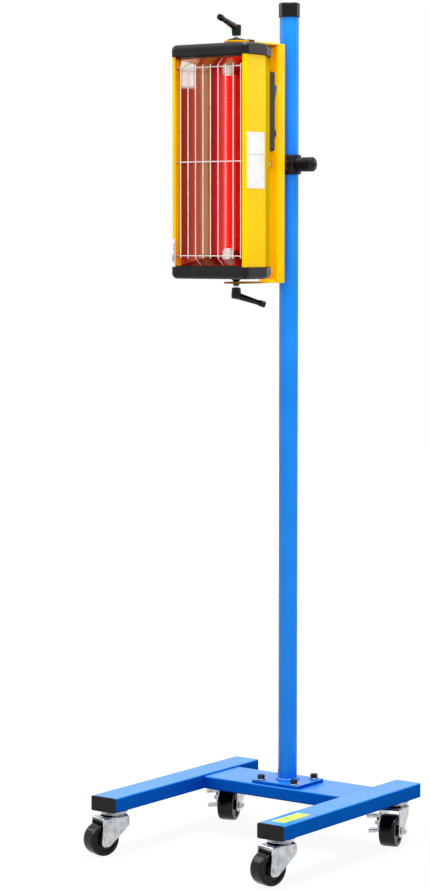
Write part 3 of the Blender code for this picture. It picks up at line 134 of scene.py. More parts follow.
def bevelSharp(work, width, segments=3, wanted=lambda edge: True, angle=50):
    edges = [e for e in work.edges if e.calc_face_angle(0) > math.radians(angle) and wanted(e)]
    bmesh.ops.bevel(work, geom=edges, offset=width, segments=segments, profile=0.5,
                    affect="EDGES", material=-1, clamp_overlap=False)
    return work


def prism(loops, depth, bevel=0.0, segments=3):
    # a plate centred on the XY plane; the first loop is its edge, the others are holes
    work = bmesh.new()
    edges = []
    for loop in loops:
        verts = [work.verts.new((x, y, 0)) for x, y in loop]
        edges += [work.edges.new(pair) for pair in zip(verts, verts[1:] + verts[:1])]
    if len(loops) == 1:
        faces = [work.faces.new(work.verts)]
    else:
        filled = bmesh.ops.triangle_fill(work, use_beauty=True, use_dissolve=False, edges=edges)
        faces = [item for item in filled["geom"] if isinstance(item, bmesh.types.BMFace)]
    raised = bmesh.ops.extrude_face_region(work, geom=faces)
    top = [item for item in raised["geom"] if isinstance(item, bmesh.types.BMVert)]
    bmesh.ops.translate(work, verts=top, vec=(0, 0, depth))
    bmesh.ops.translate(work, verts=work.verts, vec=(0, 0, -depth / 2))
    bmesh.ops.recalc_face_normals(work, faces=work.faces)
    if bevel:
        bevelSharp(work, bevel, segments)
    return work


def lathed(profile, steps=64, closed=False):
    # profile points are (radius, height), turned about Z
    work = bmesh.new()
    verts = [work.verts.new((r, 0, z)) for r, z in profile]
    edges = [work.edges.new(pair) for pair in zip(verts, verts[1:])]
    if closed:
        edges.append(work.edges.new((verts[-1], verts[0])))
    bmesh.ops.spin(work, geom=verts + edges, cent=(0, 0, 0), axis=(0, 0, 1), angle=2 * math.pi,
                   steps=steps, use_merge=True, use_duplicate=False)
    bmesh.ops.remove_doubles(work, verts=work.verts, dist=0.001 * mm)
    bmesh.ops.recalc_face_normals(work, faces=work.faces)
    return work


def wires(paths, radius, resolution=4):
    curve = bpy.data.curves.new("wire", "CURVE")
    curve.dimensions = "3D"
    curve.bevel_depth = radius
    curve.bevel_resolution = resolution
    curve.use_fill_caps = True
    for path in paths:
        spline = curve.splines.new("POLY")
        spline.points.add(len(path) - 1)
        for point, place in zip(spline.points, path):
            point.co = (*place, 1)
    holder = bpy.data.objects.new("wire", curve)
    bpy.context.scene.collection.objects.link(holder)
    mesh = bpy.data.meshes.new_from_object(holder.evaluated_get(bpy.context.evaluated_depsgraph_get()))
    bpy.data.objects.remove(holder)
    work = bmesh.new()
    work.from_mesh(mesh)
    bpy.data.meshes.remove(mesh)
    bmesh.ops.remove_doubles(work, verts=work.verts, dist=0.001 * mm)
    bmesh.ops.recalc_face_normals(work, faces=work.faces)
    return work


def ball(radius, centre=(0, 0, 0), segments=32):
    work = bmesh.new()
    bmesh.ops.create_uvsphere(work, u_segments=segments, v_segments=segments // 2, radius=radius,
                              matrix=Matrix.Translation(centre))
    return work


def moved(work, matrix):
    bmesh.ops.transform(work, matrix=matrix, verts=work.verts)
    return work


def gathered(*shapes):
    work = shapes[0]
    for other in shapes[1:]:
        mesh = bpy.data.meshes.new("shape")
        other.to_mesh(mesh)
        other.free()
        work.from_mesh(mesh)
        bpy.data.meshes.remove(mesh)
    return work


def cutShape(work, other, operation):
    holders = []
    for shape in (work, other):
        mesh = bpy.data.meshes.new("shape")
        shape.to_mesh(mesh)
        shape.free()
        holder = bpy.data.objects.new("shape", mesh)
        bpy.context.scene.collection.objects.link(holder)
        holders.append(holder)
    boolean = holders[0].modifiers.new("cut", "BOOLEAN")
    boolean.operation = operation
    boolean.solver = "EXACT"
    boolean.object = holders[1]
    mesh = bpy.data.meshes.new_from_object(holders[0].evaluated_get(bpy.context.evaluated_depsgraph_get()))
    for holder in holders:
        bpy.data.objects.remove(holder)
    # the boolean hands over its corners in any order, so they are sorted first to make every run the same
    order = sorted(range(len(mesh.vertices)), key=lambda i: tuple(mesh.vertices[i].co))
    rank = {old: new for new, old in enumerate(order)}
    rings = []
    for face in mesh.polygons:
        ring = [rank[i] for i in face.vertices]
        start = ring.index(min(ring))
        rings.append(ring[start:] + ring[:start])
    result = bmesh.new()
    verts = [result.verts.new(mesh.vertices[i].co) for i in order]
    for ring in sorted(rings):
        result.faces.new([verts[i] for i in ring])
    bpy.data.meshes.remove(mesh)
    result.normal_update()
    bmesh.ops.dissolve_limit(result, angle_limit=math.radians(1), verts=result.verts, edges=result.edges)
    return result


def laidAlong(origin, across, up):
    # lays an outline's x along across and its y along up
    across, up = Vector(across), Vector(up)
    return Matrix.Translation(origin) @ Matrix((across, up, across.cross(up))).transposed().to_4x4()


def addPiece(name, work, material, body, standsFor=(), sharp=40):
    mesh = bpy.data.meshes.new(name)
    work.to_mesh(mesh)
    work.free()
    mesh.shade_smooth()
    mesh.set_sharp_from_angle(angle=math.radians(sharp))
    mesh.materials.append(material)
    piece = bpy.data.objects.new(name, mesh)
    bpy.context.scene.collection.objects.link(piece)
    piece.modifiers.new("evenNormals", "WEIGHTED_NORMAL").keep_sharp = True
    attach(piece, body)
    if standsFor:
        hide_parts(*standsFor)
    return piece


alongX = laidAlong((0, 0, 0), (0, 1, 0), (0, 0, 1))
alongY = laidAlong((0, 0, 0), (1, 0, 0), (0, 0, 1))
lyingX = Matrix.Rotation(math.radians(90), 4, "Y")


# materials

def hexColour(code):
    parts = [int(code[i:i + 2], 16) / 255 for i in (0, 2, 4)]
    return [c / 12.92 if c <= 0.04045 else ((c + 0.055) / 1.055) ** 2.4 for c in parts] + [1.0]


def addNode(tree, kind, settings=None, inputs=None):
    node = tree.nodes.new("ShaderNode" + kind)
    for key, value in (settings or {}).items():
        setattr(node, key, value)
    for key, value in (inputs or {}).items():
        if isinstance(value, bpy.types.NodeSocket):
            tree.links.new(value, node.inputs[key])
        else:
            node.inputs[key].default_value = value
    return node


def startMaterial(name, roughness, metallic=0.0, **more):
    material = bpy.data.materials.new(name)
    material.use_nodes = True
    tree = material.node_tree
    shader = tree.nodes["Principled BSDF"]
    shader.inputs["Roughness"].default_value = roughness
    shader.inputs["Metallic"].default_value = metallic
    for key, value in more.items():
        shader.inputs[key.replace("_", " ")].default_value = value
    place = addNode(tree, "TexCoord").outputs["Object"]
    return material, tree, shader, place


def varied(tree, place, size, codes, stretch=(1, 1, 1), detail=3.0, spread=(0.35, 0.65)):
    # a colour that drifts between two hex values over patches of that size
    spot = addNode(tree, "Mapping", inputs={"Vector": place, "Scale": stretch}).outputs["Vector"]
    noise = addNode(tree, "TexNoise", inputs={"Vector": spot, "Scale": 1 / size, "Detail": detail})
    ramp = addNode(tree, "ValToRGB", inputs={"Fac": noise.outputs["Fac"]})
    for element, at, code in zip(ramp.color_ramp.elements, spread, codes):
        element.position = at
        element.color = hexColour(code)
    return ramp.outputs["Color"]


def roughened(tree, shader, place, size, low, high, stretch=(1, 1, 1)):
    spot = addNode(tree, "Mapping", inputs={"Vector": place, "Scale": stretch}).outputs["Vector"]
    noise = addNode(tree, "TexNoise", inputs={"Vector": spot, "Scale": 1 / size, "Detail": 4.0})
    level = addNode(tree, "MapRange", inputs={"Value": noise.outputs["Fac"], "To Min": low, "To Max": high})
    tree.links.new(level.outputs["Result"], shader.inputs["Roughness"])


def embossed(tree, shader, place, size, height, strength, stretch=(1, 1, 1), detail=2.0):
    spot = addNode(tree, "Mapping", inputs={"Vector": place, "Scale": stretch}).outputs["Vector"]
    noise = addNode(tree, "TexNoise", inputs={"Vector": spot, "Scale": 1 / size, "Detail": detail})
    bump = addNode(tree, "Bump", inputs={
        "Height": noise.outputs["Fac"], "Distance": height, "Strength": strength})
    tree.links.new(bump.outputs["Normal"], shader.inputs["Normal"])


def powderCoat(name, codes, tint, sheen, shade, reach):
    # powder coat baked on steel: one even colour under a soft gloss, with an orange peel of about 2 mm,
    # drawn 3 mm wide so that it breaks the highlights at this distance; the sheen differs with the way
    # that a face turns, and painted shade deepens the colour where other parts stand close to it
    material, tree, shader, place = startMaterial(name, 0.3, IOR=1.5, Specular_Tint=hexColour(tint))
    # painted shade: the colour is mixed towards the darker shade colour where ambient occlusion finds parts near
    openness = addNode(tree, "AmbientOcclusion", {"samples": 8}, {"Distance": reach}).outputs["AO"]
    share = addNode(tree, "MapRange", inputs={"Value": openness, "From Min": 0.4, "From Max": 0.95})
    paintedShadeColour = addNode(tree, "MixRGB", inputs={
        0: share.outputs["Result"], 1: hexColour(shade), 2: varied(tree, place, 90 * mm, codes)})
    tree.links.new(paintedShadeColour.outputs[0], shader.inputs["Base Color"])
    axis, low, high, before, after = sheen
    turned = addNode(tree, "SeparateXYZ", inputs={"Vector": addNode(tree, "TexCoord").outputs["Normal"]})
    gloss = addNode(tree, "MapRange", inputs={
        "Value": turned.outputs[axis], "From Min": low, "From Max": high, "To Min": before, "To Max": after})
    tree.links.new(gloss.outputs["Result"], shader.inputs["Specular IOR Level"])
    roughened(tree, shader, place, 14 * mm, 0.26, 0.36)
    embossed(tree, shader, place, 3 * mm, 0.05 * mm, 0.25)
    return material


def mouldedPlastic(name, codes, low=0.34, high=0.48):
    # injection moulded ABS with a spark-eroded grain of 0.4 mm, drawn 1 mm wide to show
    material, tree, shader, place = startMaterial(name, 0.4, IOR=1.53, Specular_IOR_Level=0.2)
    tree.links.new(varied(tree, place, 25 * mm, codes), shader.inputs["Base Color"])
    roughened(tree, shader, place, 6 * mm, low, high)
    embossed(tree, shader, place, 1 * mm, 0.04 * mm, 0.5, detail=4.0)
    return material


def platedSteel(name, codes, low, high, grain=(1, 1, 1), metal=1.0):
    # bright zinc plate on pressed steel: a pale metal, cloudy where the sheet was rolled
    material, tree, shader, place = startMaterial(name, 0.3, metal)
    tree.links.new(varied(tree, place, 12 * mm, codes, grain), shader.inputs["Base Color"])
    roughened(tree, shader, place, 8 * mm, low, high, grain)
    embossed(tree, shader, place, 4 * mm, 0.02 * mm, 0.2, grain)
    return material


def polishedSheet(name, stops, pale=0.0):
    # mirror polished aluminium in the red light of its tube: it keeps the shine of the metal, and its
    # colour is painted glow and painted reflection, running across the trough from rust through tan and maroon
    # to red; a painted reflection of the room, a pale area, stays in the far corner
    material, tree, shader, place = startMaterial(name, 0.14, 1.0)
    # painted glow and painted reflections: the colour is set by the position across the trough
    where = addNode(tree, "SeparateXYZ", inputs={"Vector": place}).outputs
    drift = addNode(tree, "TexNoise", inputs={
        "Vector": addNode(tree, "Mapping", inputs={"Vector": place, "Scale": (1, 1, 0.06)}).outputs["Vector"],
        "Scale": 1 / (12 * mm), "Detail": 3.0}).outputs["Fac"]
    swing = addNode(tree, "Math", {"operation": "MULTIPLY_ADD"}, {0: drift, 1: 9 * mm, 2: -4.5 * mm})
    across = addNode(tree, "Math", {"operation": "ADD"}, {0: where["X"], 1: swing.outputs[0]})
    share = addNode(tree, "MapRange", inputs={"Value": across.outputs[0], "From Min": -70 * mm, "From Max": 70 * mm})
    ramp = addNode(tree, "ValToRGB", inputs={"Fac": share.outputs["Result"]})
    elements = ramp.color_ramp.elements
    elements[0].position, elements[0].color = stops[0][0], hexColour(stops[0][1])
    elements[1].position, elements[1].color = stops[-1][0], hexColour(stops[-1][1])
    for at, code in stops[1:-1]:
        elements.new(at).color = hexColour(code)
    # painted reflection of the room: a pale area near the top at the far side of the trough
    high = addNode(tree, "MapRange", inputs={"Value": where["Z"], "From Min": 1.262, "From Max": 1.268, "To Max": pale})
    near = addNode(tree, "MapRange", inputs={"Value": where["X"], "From Min": -54 * mm, "From Max": -59 * mm})
    paintedReflection = addNode(tree, "Math", {"operation": "MULTIPLY"}, {0: high.outputs["Result"], 1: near.outputs["Result"]})
    mixed = addNode(tree, "MixRGB", inputs={0: paintedReflection.outputs[0], 1: ramp.outputs["Color"], 2: hexColour("FFF6F2")})
    tree.links.new(mixed.outputs[0], shader.inputs["Base Color"])
    lengthwise = (1, 1, 0.02)
    roughened(tree, shader, place, 2 * mm, 0.1, 0.2, lengthwise)
    embossed(tree, shader, place, 1.5 * mm, 0.02 * mm, 0.3, lengthwise)
    return material


def hotQuartz(name):
    # a quartz tube with a coiled filament inside: it glows red, a little brighter at each turn of the coil
    material, tree, shader, place = startMaterial(name, 0.08, IOR=1.46)
    shader.inputs["Base Color"].default_value = hexColour("C01008")
    coil = addNode(tree, "TexWave", {"wave_type": "BANDS", "bands_direction": "Z"}, {
        "Vector": place, "Scale": 1 / (3 * mm) / 6.2832, "Distortion": 0.6})
    ramp = addNode(tree, "ValToRGB", inputs={"Fac": coil.outputs["Fac"]})
    for element, at, code in zip(ramp.color_ramp.elements, (0.15, 0.9), ("E00505", "FF1E14")):
        element.position = at
        element.color = hexColour(code)
    tree.links.new(ramp.outputs["Color"], shader.inputs["Emission Color"])
    shader.inputs["Emission Strength"].default_value = 1.0
    return material


def firedCeramic(name):
    # steatite ceramic: off-white and matt, faintly speckled
    material, tree, shader, place = startMaterial(name, 0.55, IOR=1.6)
    tree.links.new(varied(tree, place, 1.5 * mm, ("E6DFD2", "F4EFE6")), shader.inputs["Base Color"])
    embossed(tree, shader, place, 1 * mm, 0.03 * mm, 0.4)
    return material


def printedFilm(name, codes, size):
    # a vinyl label: smooth, thin and slightly glossy
    material, tree, shader, place = startMaterial(name, 0.3, IOR=1.5)
    tree.links.new(varied(tree, place, size, codes, spread=(0.45, 0.55)), shader.inputs["Base Color"])
    embossed(tree, shader, place, 5 * mm, 0.02 * mm, 0.2)
    return material


# each powder coat's fifth value is its painted shade colour, and its sixth is how far off the parts that cast that
# shade may stand
bluePaint = powderCoat("bluePowderCoat", ("1282E4", "1889EC"), "F4FAFF", ("Z", 0.3, 0.8, 0.0, 0.6), "003EB0", 400 * mm)
postPaint = powderCoat("bluePowderCoatPost", ("1684E6", "1C8CF0"), "F4FAFF", ("Z", 0.3, 0.8, 0.25, 0.6), "0A5CD0", 60 * mm)
yellowPaint = powderCoat("yellowPowderCoat", ("FFCC00", "FFD400"), "FFC840", ("Y", 0.1, 0.4, 0.15, 0.0), "EE8400", 60 * mm)
blackPlastic = mouldedPlastic("blackAbs", ("0B0B0D", "131316"))
glossBlack = mouldedPlastic("glossyBlackPolypropylene", ("060607", "0C0C0D"), 0.12, 0.2)
zincPlate = platedSteel("brightZincPlate", ("A8ACB0", "CDD0D2"), 0.18, 0.32)
blackOxide = platedSteel("blackOxideSteel", ("2A2B2E", "3C3D40"), 0.3, 0.45)
chromeWire = platedSteel("chromedWire", ("DCDADA", "F2F0EE"), 0.08, 0.16, metal=0.5)
# the reflector's colour stops are painted red glow and painted reflections, and its last number sets the pale painted
# reflection of the room
polishedAluminium = polishedSheet("polishedAluminium", (
    (0.02, "9E3020"), (0.09, "BA4A32"), (0.14, "B8583A"), (0.17, "C08A5E"), (0.21, "B47A50"), (0.245, "8A1C1A"),
    (0.3, "C81E24"), (0.35, "F03A3A"), (0.39, "F86A60"), (0.42, "E02020"), (0.6, "F04038"), (0.67, "D82018"), (0.92, "8A0F0A")), 0.95)
# lit and shaded copies of the same aluminium: the top end plate gets painted warm light, and the bottom one painted
# dusky shade
paintedLightAluminium = polishedSheet("polishedAluminiumPaintedLight", ((0.0, "D08A58"), (0.5, "C98448"), (0.95, "B86A4C")))
paintedShadeAluminium = polishedSheet("polishedAluminiumPaintedShade", ((0.0, "8A3A38"), (0.5, "983A34"), (0.95, "7A2A28")))
glowingQuartz = hotQuartz("glowingQuartz")
whiteCeramic = firedCeramic("steatiteCeramic")
whiteLabel = printedFilm("whiteLabelFilm", ("E6E6E4", "F0F0F0"), 40 * mm)
greyPrint = printedFilm("greyPrintedLine", ("8C8C8C", "9A9A9A"), 10 * mm)
violetLabel = printedFilm("violetLabelFilm", ("A79AD0", "F0EDF8"), 14 * mm)
limeLabel = printedFilm("limeLabelFilm", ("B4DC38", "E8E02C"), 40 * mm)
print("materials ready")


# base of rectangular tube

baseSizes = {"wall": 2 * mm, "corner": 2.5 * mm, "capEdge": 1.1 * mm, "capPlug": 16 * mm, "capFlange": 3 * mm,
             "flangeEdge": 0.7 * mm, "flangeCorner": 4 * mm}


def squareTube(node, lengthAxis):
    low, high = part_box(node)
    size, middle = high - low, (high + low) / 2
    width, lay = (size.x, alongY) if lengthAxis == "y" else (size.y, alongX)
    length = size.y if lengthAxis == "y" else size.x
    inside = roundedBox(width - 2 * baseSizes["wall"], size.z - 2 * baseSizes["wall"], baseSizes["corner"] / 2)
    tube = prism([roundedBox(width, size.z, baseSizes["corner"]), inside], length)
    return moved(tube, Matrix.Translation(middle) @ lay)


for side in ("left", "right"):
    addPiece(side + "Leg", squareTube(side + "_leg", "y"), bluePaint, "stand", [side + "_leg"])
    for end in ("front", "rear"):
        node = "leg_cap_%s_%s" % (end, side)
        low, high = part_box(node)
        face = low.y if end == "front" else high.y
        centre = (low + high) / 2
        shrink = 2 * baseSizes["wall"] + 0.6 * mm if end == "front" else 0
        plug = prism([roundedBox(high.x - low.x - shrink, high.z - low.z - shrink, baseSizes["corner"])],
                     baseSizes["capPlug"], 0.5 * mm)
        if end == "front":
            plugY = face + baseSizes["capFlange"] + baseSizes["capPlug"] / 2
            flange = prism([roundedBox(high.x - low.x, high.z - low.z, baseSizes["corner"])],
                           baseSizes["capFlange"], baseSizes["capEdge"], 4)
            moved(flange, Matrix.Translation((centre.x, face + baseSizes["capFlange"] / 2, centre.z)) @ alongY)
            plug = gathered(moved(plug, Matrix.Translation((centre.x, plugY, centre.z)) @ alongY), flange)
        else:
            moved(plug, Matrix.Translation((centre.x, face - baseSizes["capPlug"] / 2, centre.z)) @ alongY)
        addPiece("legCap%s%s" % (end.title(), side.title()), plug, blackPlastic, "stand", [node])
addPiece("crossMember", squareTube("cross_member", "x"), bluePaint, "stand", ["cross_member"])

low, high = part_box("post_flange")
flange = prism([roundedBox(high.x - low.x, high.y - low.y, baseSizes["flangeCorner"])], high.z - low.z,
               baseSizes["flangeEdge"])
moved(flange, Matrix.Translation((low + high) / 2))
addPiece("postFlange", flange, bluePaint, "stand", ["post_flange"])

boltSizes = {"headRadius": 6.2 * mm, "headHeight": 6.6 * mm, "washerRadius": 8 * mm, "washerHeight": 1.6 * mm,
             "shankRadius": 4 * mm, "nutHeight": 6 * mm}
for number in range(1, 5):
    low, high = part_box("flange_bolt_%d" % number)
    centre = (low + high) / 2
    washerTop = high.z - boltSizes["headHeight"] - 0.4 * mm
    washer = lathed(filleted([
        (boltSizes["shankRadius"], washerTop, 0), (boltSizes["washerRadius"], washerTop, 0.5 * mm),
        (boltSizes["washerRadius"], washerTop - boltSizes["washerHeight"], 0.3 * mm),
        (boltSizes["shankRadius"], washerTop - boltSizes["washerHeight"], 0)]), 48, True)
    moved(washer, Matrix.Translation((centre.x, centre.y, 0)))
    addPiece("flangeWasher%d" % number, washer, zincPlate, "stand")
    hexagon = arcPoints((0, 0), boltSizes["headRadius"] * 1.06, 0, 360, 6)[:-1]
    head = prism([hexagon], boltSizes["headHeight"], 0.7 * mm, 3)
    moved(head, Matrix.Translation((centre.x, centre.y, washerTop + boltSizes["headHeight"] / 2))
          @ Matrix.Rotation(0.5 * number, 4, "Z"))
    recess = lathed(filleted([(0, high.z + 0.3 * mm, 0), (2.6 * mm, high.z + 0.3 * mm, 0.2 * mm),
                              (3.2 * mm, high.z - 0.5 * mm, 0)]), 32)
    moved(recess, Matrix.Translation((centre.x, centre.y, 0)))
    shank = lathed([(0, washerTop), (boltSizes["shankRadius"], washerTop),
                    (boltSizes["shankRadius"], low.z + 0.5 * mm), (0, low.z + 0.5 * mm)], 32)
    moved(shank, Matrix.Translation((centre.x, centre.y, 0)))
    nut = prism([hexagon], boltSizes["nutHeight"], 0.5 * mm, 2)
    moved(nut, Matrix.Translation((centre.x, centre.y, low.z + boltSizes["nutHeight"] / 2)))
    addPiece("flangeBolt%d" % number, gathered(head, recess, shank, nut), blackOxide, "stand",
             ["flange_bolt_%d" % number])
print("base ready")


# post

postSizes = {"weld": 3.5 * mm, "ripple": 0.35 * mm, "ripples": 34, "wall": 2 * mm, "capRound": 3 * mm,
             "capSkirt": 21.5 * mm, "capLip": 0.8 * mm}
low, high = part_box("post_tube")
postX, postY = (low.x + high.x) / 2, (low.y + high.y) / 2
postRadius = (high.x - low.x) / 2 - postSizes["weld"]
weldArc = arcPoints((postRadius, low.z), postSizes["weld"], 90, 0, 6)
inner = postRadius - postSizes["wall"]
post = lathed([(postRadius, high.z), *weldArc, (inner, low.z), (inner, high.z)], 102, True)
for vert in post.verts:
    reach = math.hypot(vert.co.x, vert.co.y)
    if reach > postRadius + 0.2 * mm and vert.co.z > low.z + 0.1 * mm:
        swell = 1 + postSizes["ripple"] * math.cos(postSizes["ripples"] * math.atan2(vert.co.y, vert.co.x)) / reach
        vert.co.x *= swell
        vert.co.y *= swell
addPiece("postTube", moved(post, Matrix.Translation((postX, postY, 0))), postPaint, "stand",
         ["post_tube"])

low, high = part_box("post_cap")
capRadius = (high.x - low.x) / 2
skirtInner = postRadius + 0.3 * mm
cap = lathed(filleted([
    (0, high.z, 0), (capRadius, high.z, postSizes["capRound"]),
    (capRadius, low.z + 3 * postSizes["capLip"], 0.2 * mm), (capRadius + 0.3 * mm, low.z + 2 * postSizes["capLip"], 0.2 * mm),
    (capRadius + 0.3 * mm, low.z, 0.3 * mm), (skirtInner, low.z, 0), (skirtInner, high.z - 2.5 * mm, 0),
    (0, high.z - 2.5 * mm, 0)]), 96)
addPiece("postCap", moved(cap, Matrix.Translation((postX, postY, 0))), glossBlack, "stand",
         ["post_cap"])
print("post ready")


# casters: local x runs along the axle, and the wheel trails towards local -y

casterSizes = {"trail": 25.5 * mm, "wheelRadius": 27.5 * mm, "wheelWidth": 27.5 * mm, "hubRadius": 9 * mm,
               "hubWidth": 31 * mm, "rim": 7 * mm, "dish": 3 * mm, "tread": 5 * mm, "bore": 3.3 * mm,
               "forkInner": 16 * mm, "forkOuter": 18.5 * mm, "forkTop": 64.5 * mm, "forkRear": 19 * mm,
               "frontOverhang": 6 * mm, "tipRadius": 11 * mm, "shoulder": 16 * mm, "bend": 4 * mm,
               "raceRadius": 23.5 * mm, "raceHeight": 4.5 * mm, "forkRace": 4.5 * mm, "plate": 2.5 * mm,
               "rivetRadius": 7 * mm, "axleRadius": 3 * mm, "axleHead": 5.75 * mm, "axleHeadHeight": 2.2 * mm,
               "nutHeight": 9 * mm}
brakeSizes = {"width": 20 * mm, "thickness": 1.6 * mm, "above": 13 * mm, "below": 25 * mm, "point": 6.6 * mm,
              "tabReach": 17 * mm, "lip": 6 * mm, "tabSpacing": 25 * mm, "tilt": 7.0, "pin": 1.5 * mm,
              "ear": 3.3 * mm, "standoff": 5.4 * mm, "rise": 11 * mm, "earThickness": 2.5 * mm}


def casterPlace(corner):
    swivel, wheel = joints["caster_swivel_" + corner], joints["wheel_spin_" + corner]
    across = Vector(wheel["axis"])
    back = Vector((0, 0, 1)).cross(across)
    turn = Matrix((across, back, Vector((0, 0, 1)))).transposed().to_4x4()
    return Matrix.Translation(swivel["pos_m"]) @ turn


def forkShape():
    s = casterSizes
    low, high = s["wheelRadius"] - s["tipRadius"], s["forkTop"]
    side = filleted([
        (-s["forkRear"], high, 3 * mm), (-s["forkRear"], high - s["shoulder"], s["shoulder"] / 2),
        (s["trail"] - s["tipRadius"] / 2, low, s["tipRadius"]), (s["trail"] + s["tipRadius"], low, s["tipRadius"]),
        (s["trail"] + s["frontOverhang"], high, 3 * mm)], 10)
    body = moved(prism([side], 4 * s["forkOuter"]), laidAlong((0, 0, 0), (0, -1, 0), (0, 0, 1)))
    outer, inner, wall = s["forkOuter"], s["forkInner"], s["forkOuter"] - s["forkInner"]
    bent = filleted([
        (-outer, 0, 0), (-inner, 0, 0), (-inner, high - wall, s["bend"] - wall), (inner, high - wall, s["bend"] - wall),
        (inner, 0, 0), (outer, 0, 0), (outer, high, s["bend"]), (-outer, high, s["bend"])], 6)
    channel = moved(prism([bent], 6 * s["forkOuter"] + s["trail"]), alongY)
    fork = cutShape(body, channel, "INTERSECT")
    bevelSharp(fork, 0.5 * mm, 2, angle=60)
    top = high + s["forkRace"]
    ring = lathed(filleted([
        (4.3 * mm, top, 0), (s["raceRadius"] - 2 * mm, top, 1 * mm), (s["raceRadius"] - 5 * mm, high - 0.4 * mm, 1.5 * mm),
        (4.3 * mm, high - 0.4 * mm, 0)]), 64, True)
    plate = lathed(filleted([
        (4.3 * mm, high, 0), (s["raceRadius"], high, 1 * mm), (s["raceRadius"], high - s["plate"], 0.5 * mm),
        (4.3 * mm, high - s["plate"], 0)]), 64, True)
    return gathered(fork, ring, plate)


def raceShape(low, high):
    s = casterSizes
    rivetTop = s["forkTop"] - (s["forkOuter"] - s["forkInner"]) - 0.3 * mm
    return lathed(filleted([
        (0, high, 0), (s["raceRadius"], high, 0.6 * mm), (s["raceRadius"], high - 1.8 * mm, 0.5 * mm),
        (s["raceRadius"] - 1.4 * mm, high - 2.4 * mm, 0.4 * mm), (s["raceRadius"] - 2 * mm, high - s["raceHeight"], 0.8 * mm),
        (4 * mm, high - s["raceHeight"], 0), (4 * mm, rivetTop, 0), (s["rivetRadius"], rivetTop, 0.4 * mm),
        (s["rivetRadius"] * 0.7, low, 0.8 * mm), (0, low, 0)]), 64)


def wheelShape():
    s = casterSizes
    half, rim, hub = s["wheelWidth"] / 2, s["wheelRadius"], s["hubRadius"]
    dish, lip = half - s["dish"], rim - s["rim"]
    side = [(s["bore"], s["hubWidth"] / 2, 0), (hub * 0.62, s["hubWidth"] / 2, 0.5 * mm), (hub, s["hubWidth"] / 2 - 1.2 * mm, 0.6 * mm),
            (hub, dish, 1 * mm), (lip - 3 * mm, dish, 0.4 * mm), (lip - 2.4 * mm, dish + 0.5 * mm, 0.3 * mm), (lip - 1 * mm, dish + 0.5 * mm, 0.6 * mm),
            (lip, half, 0.8 * mm), (rim - 1 * mm, half, 1.5 * mm), (rim - 0.2 * mm, half - s["tread"], 3 * mm)]
    profile = side + [(r, -z, fillet) for r, z, fillet in reversed(side)]
    return moved(lathed(filleted(profile, 4), 96, True), lyingX)


def axleShape(nutted):
    s = casterSizes
    face, head = s["forkOuter"] + 0.3 * mm, s["axleHead"]
    shank = lathed([(0, face), (s["axleRadius"], face), (s["axleRadius"], -face), (0, -face)], 32)
    dome = lathed(filleted([(0, s["axleHeadHeight"], 0), (head * 0.6, s["axleHeadHeight"], 0.8 * mm), (head, 0.5 * mm, 0.5 * mm),
                            (head, 0, 0), (0, 0, 0)]), 48)
    left = moved(dome, Matrix.Translation((0, 0, -face)) @ Matrix.Rotation(math.pi, 4, "X"))
    if nutted:
        nut = prism([arcPoints((0, 0), head * 1.08, 0, 360, 6)[:-1]], s["nutHeight"] * 0.75, 0.6 * mm, 3)
        moved(nut, Matrix.Translation((0, 0, face + s["nutHeight"] * 0.375)))
        tip = lathed(filleted([(0, face + s["nutHeight"], 0), (s["axleRadius"], face + s["nutHeight"], 0.6 * mm),
                               (s["axleRadius"], face + 1 * mm, 0), (0, face + 1 * mm, 0)]), 32)
        right = gathered(nut, tip)
    else:
        right = lathed(filleted([(0, face + s["axleHeadHeight"], 0), (head * 0.6, face + s["axleHeadHeight"], 0.8 * mm),
                                 (head, face + 0.5 * mm, 0.5 * mm), (head, face, 0), (0, face, 0)]), 48)
    return moved(gathered(shank, left, right), lyingX)


def brakeShape():
    s = brakeSizes
    half, low = s["width"] / 2, -s["below"]
    outline = filleted([
        (-half, s["above"], 2 * mm), (-half, low / 2, 4 * mm), (-s["point"] / 2, low, 2.5 * mm),
        (s["point"] / 2, low, 2.5 * mm), (half, low / 2, 4 * mm), (half, s["above"], 2 * mm)], 5)
    shape = moved(prism([outline], s["thickness"], 0.4 * mm, 2), alongX)
    upper = s["above"] - s["thickness"]
    for height in (upper, upper - s["tabSpacing"]):
        # each tab is a flat strip with one edge bent down, its wall below the path
        edge, top = s["width"] / 2 - 3 * mm, height + s["thickness"]
        strip = bentSheet([(edge, top, 0), (-edge, top, 2 * mm), (-edge, top - s["lip"], 0)], s["thickness"], 5)
        reach = s["tabReach"] + s["thickness"]
        bar = moved(prism([strip], reach, 0.35 * mm, 2), laidAlong((-reach / 2, 0, 0), (0, 1, 0), (0, 0, 1)))
        shape = gathered(shape, bar)
    span = half + 0.3 * mm + s["earThickness"]
    pin = moved(lathed([(0, span), (s["pin"], span), (s["pin"], -span), (0, -span)], 24), Matrix.Rotation(math.radians(90), 4, "X"))
    return gathered(shape, pin)


def earShape():
    # the two ears on the fork's left side that hold the brake's pin
    s, f = brakeSizes, casterSizes
    pivot = Vector((-f["forkOuter"] - s["standoff"] - s["thickness"] / 2, -f["trail"] / 2, f["wheelRadius"] + s["rise"]))
    shapes = []
    for sign in (-1, 1):
        middle = pivot.y + sign * (s["width"] / 2 + 0.3 * mm + s["earThickness"] / 2)
        outline = filleted([
            (pivot.x - s["ear"], pivot.z - s["ear"], 2.5 * mm), (-f["forkOuter"] + 1 * mm, pivot.z - s["ear"] - 2 * mm, 0),
            (-f["forkOuter"] + 1 * mm, pivot.z + s["ear"] + 2 * mm, 0), (pivot.x - s["ear"], pivot.z + s["ear"], 2.5 * mm)], 5)
        shapes.append(moved(prism([outline], s["earThickness"], 0.3 * mm, 2), Matrix.Translation((0, middle, 0)) @ alongY))
    return pivot, gathered(*shapes)


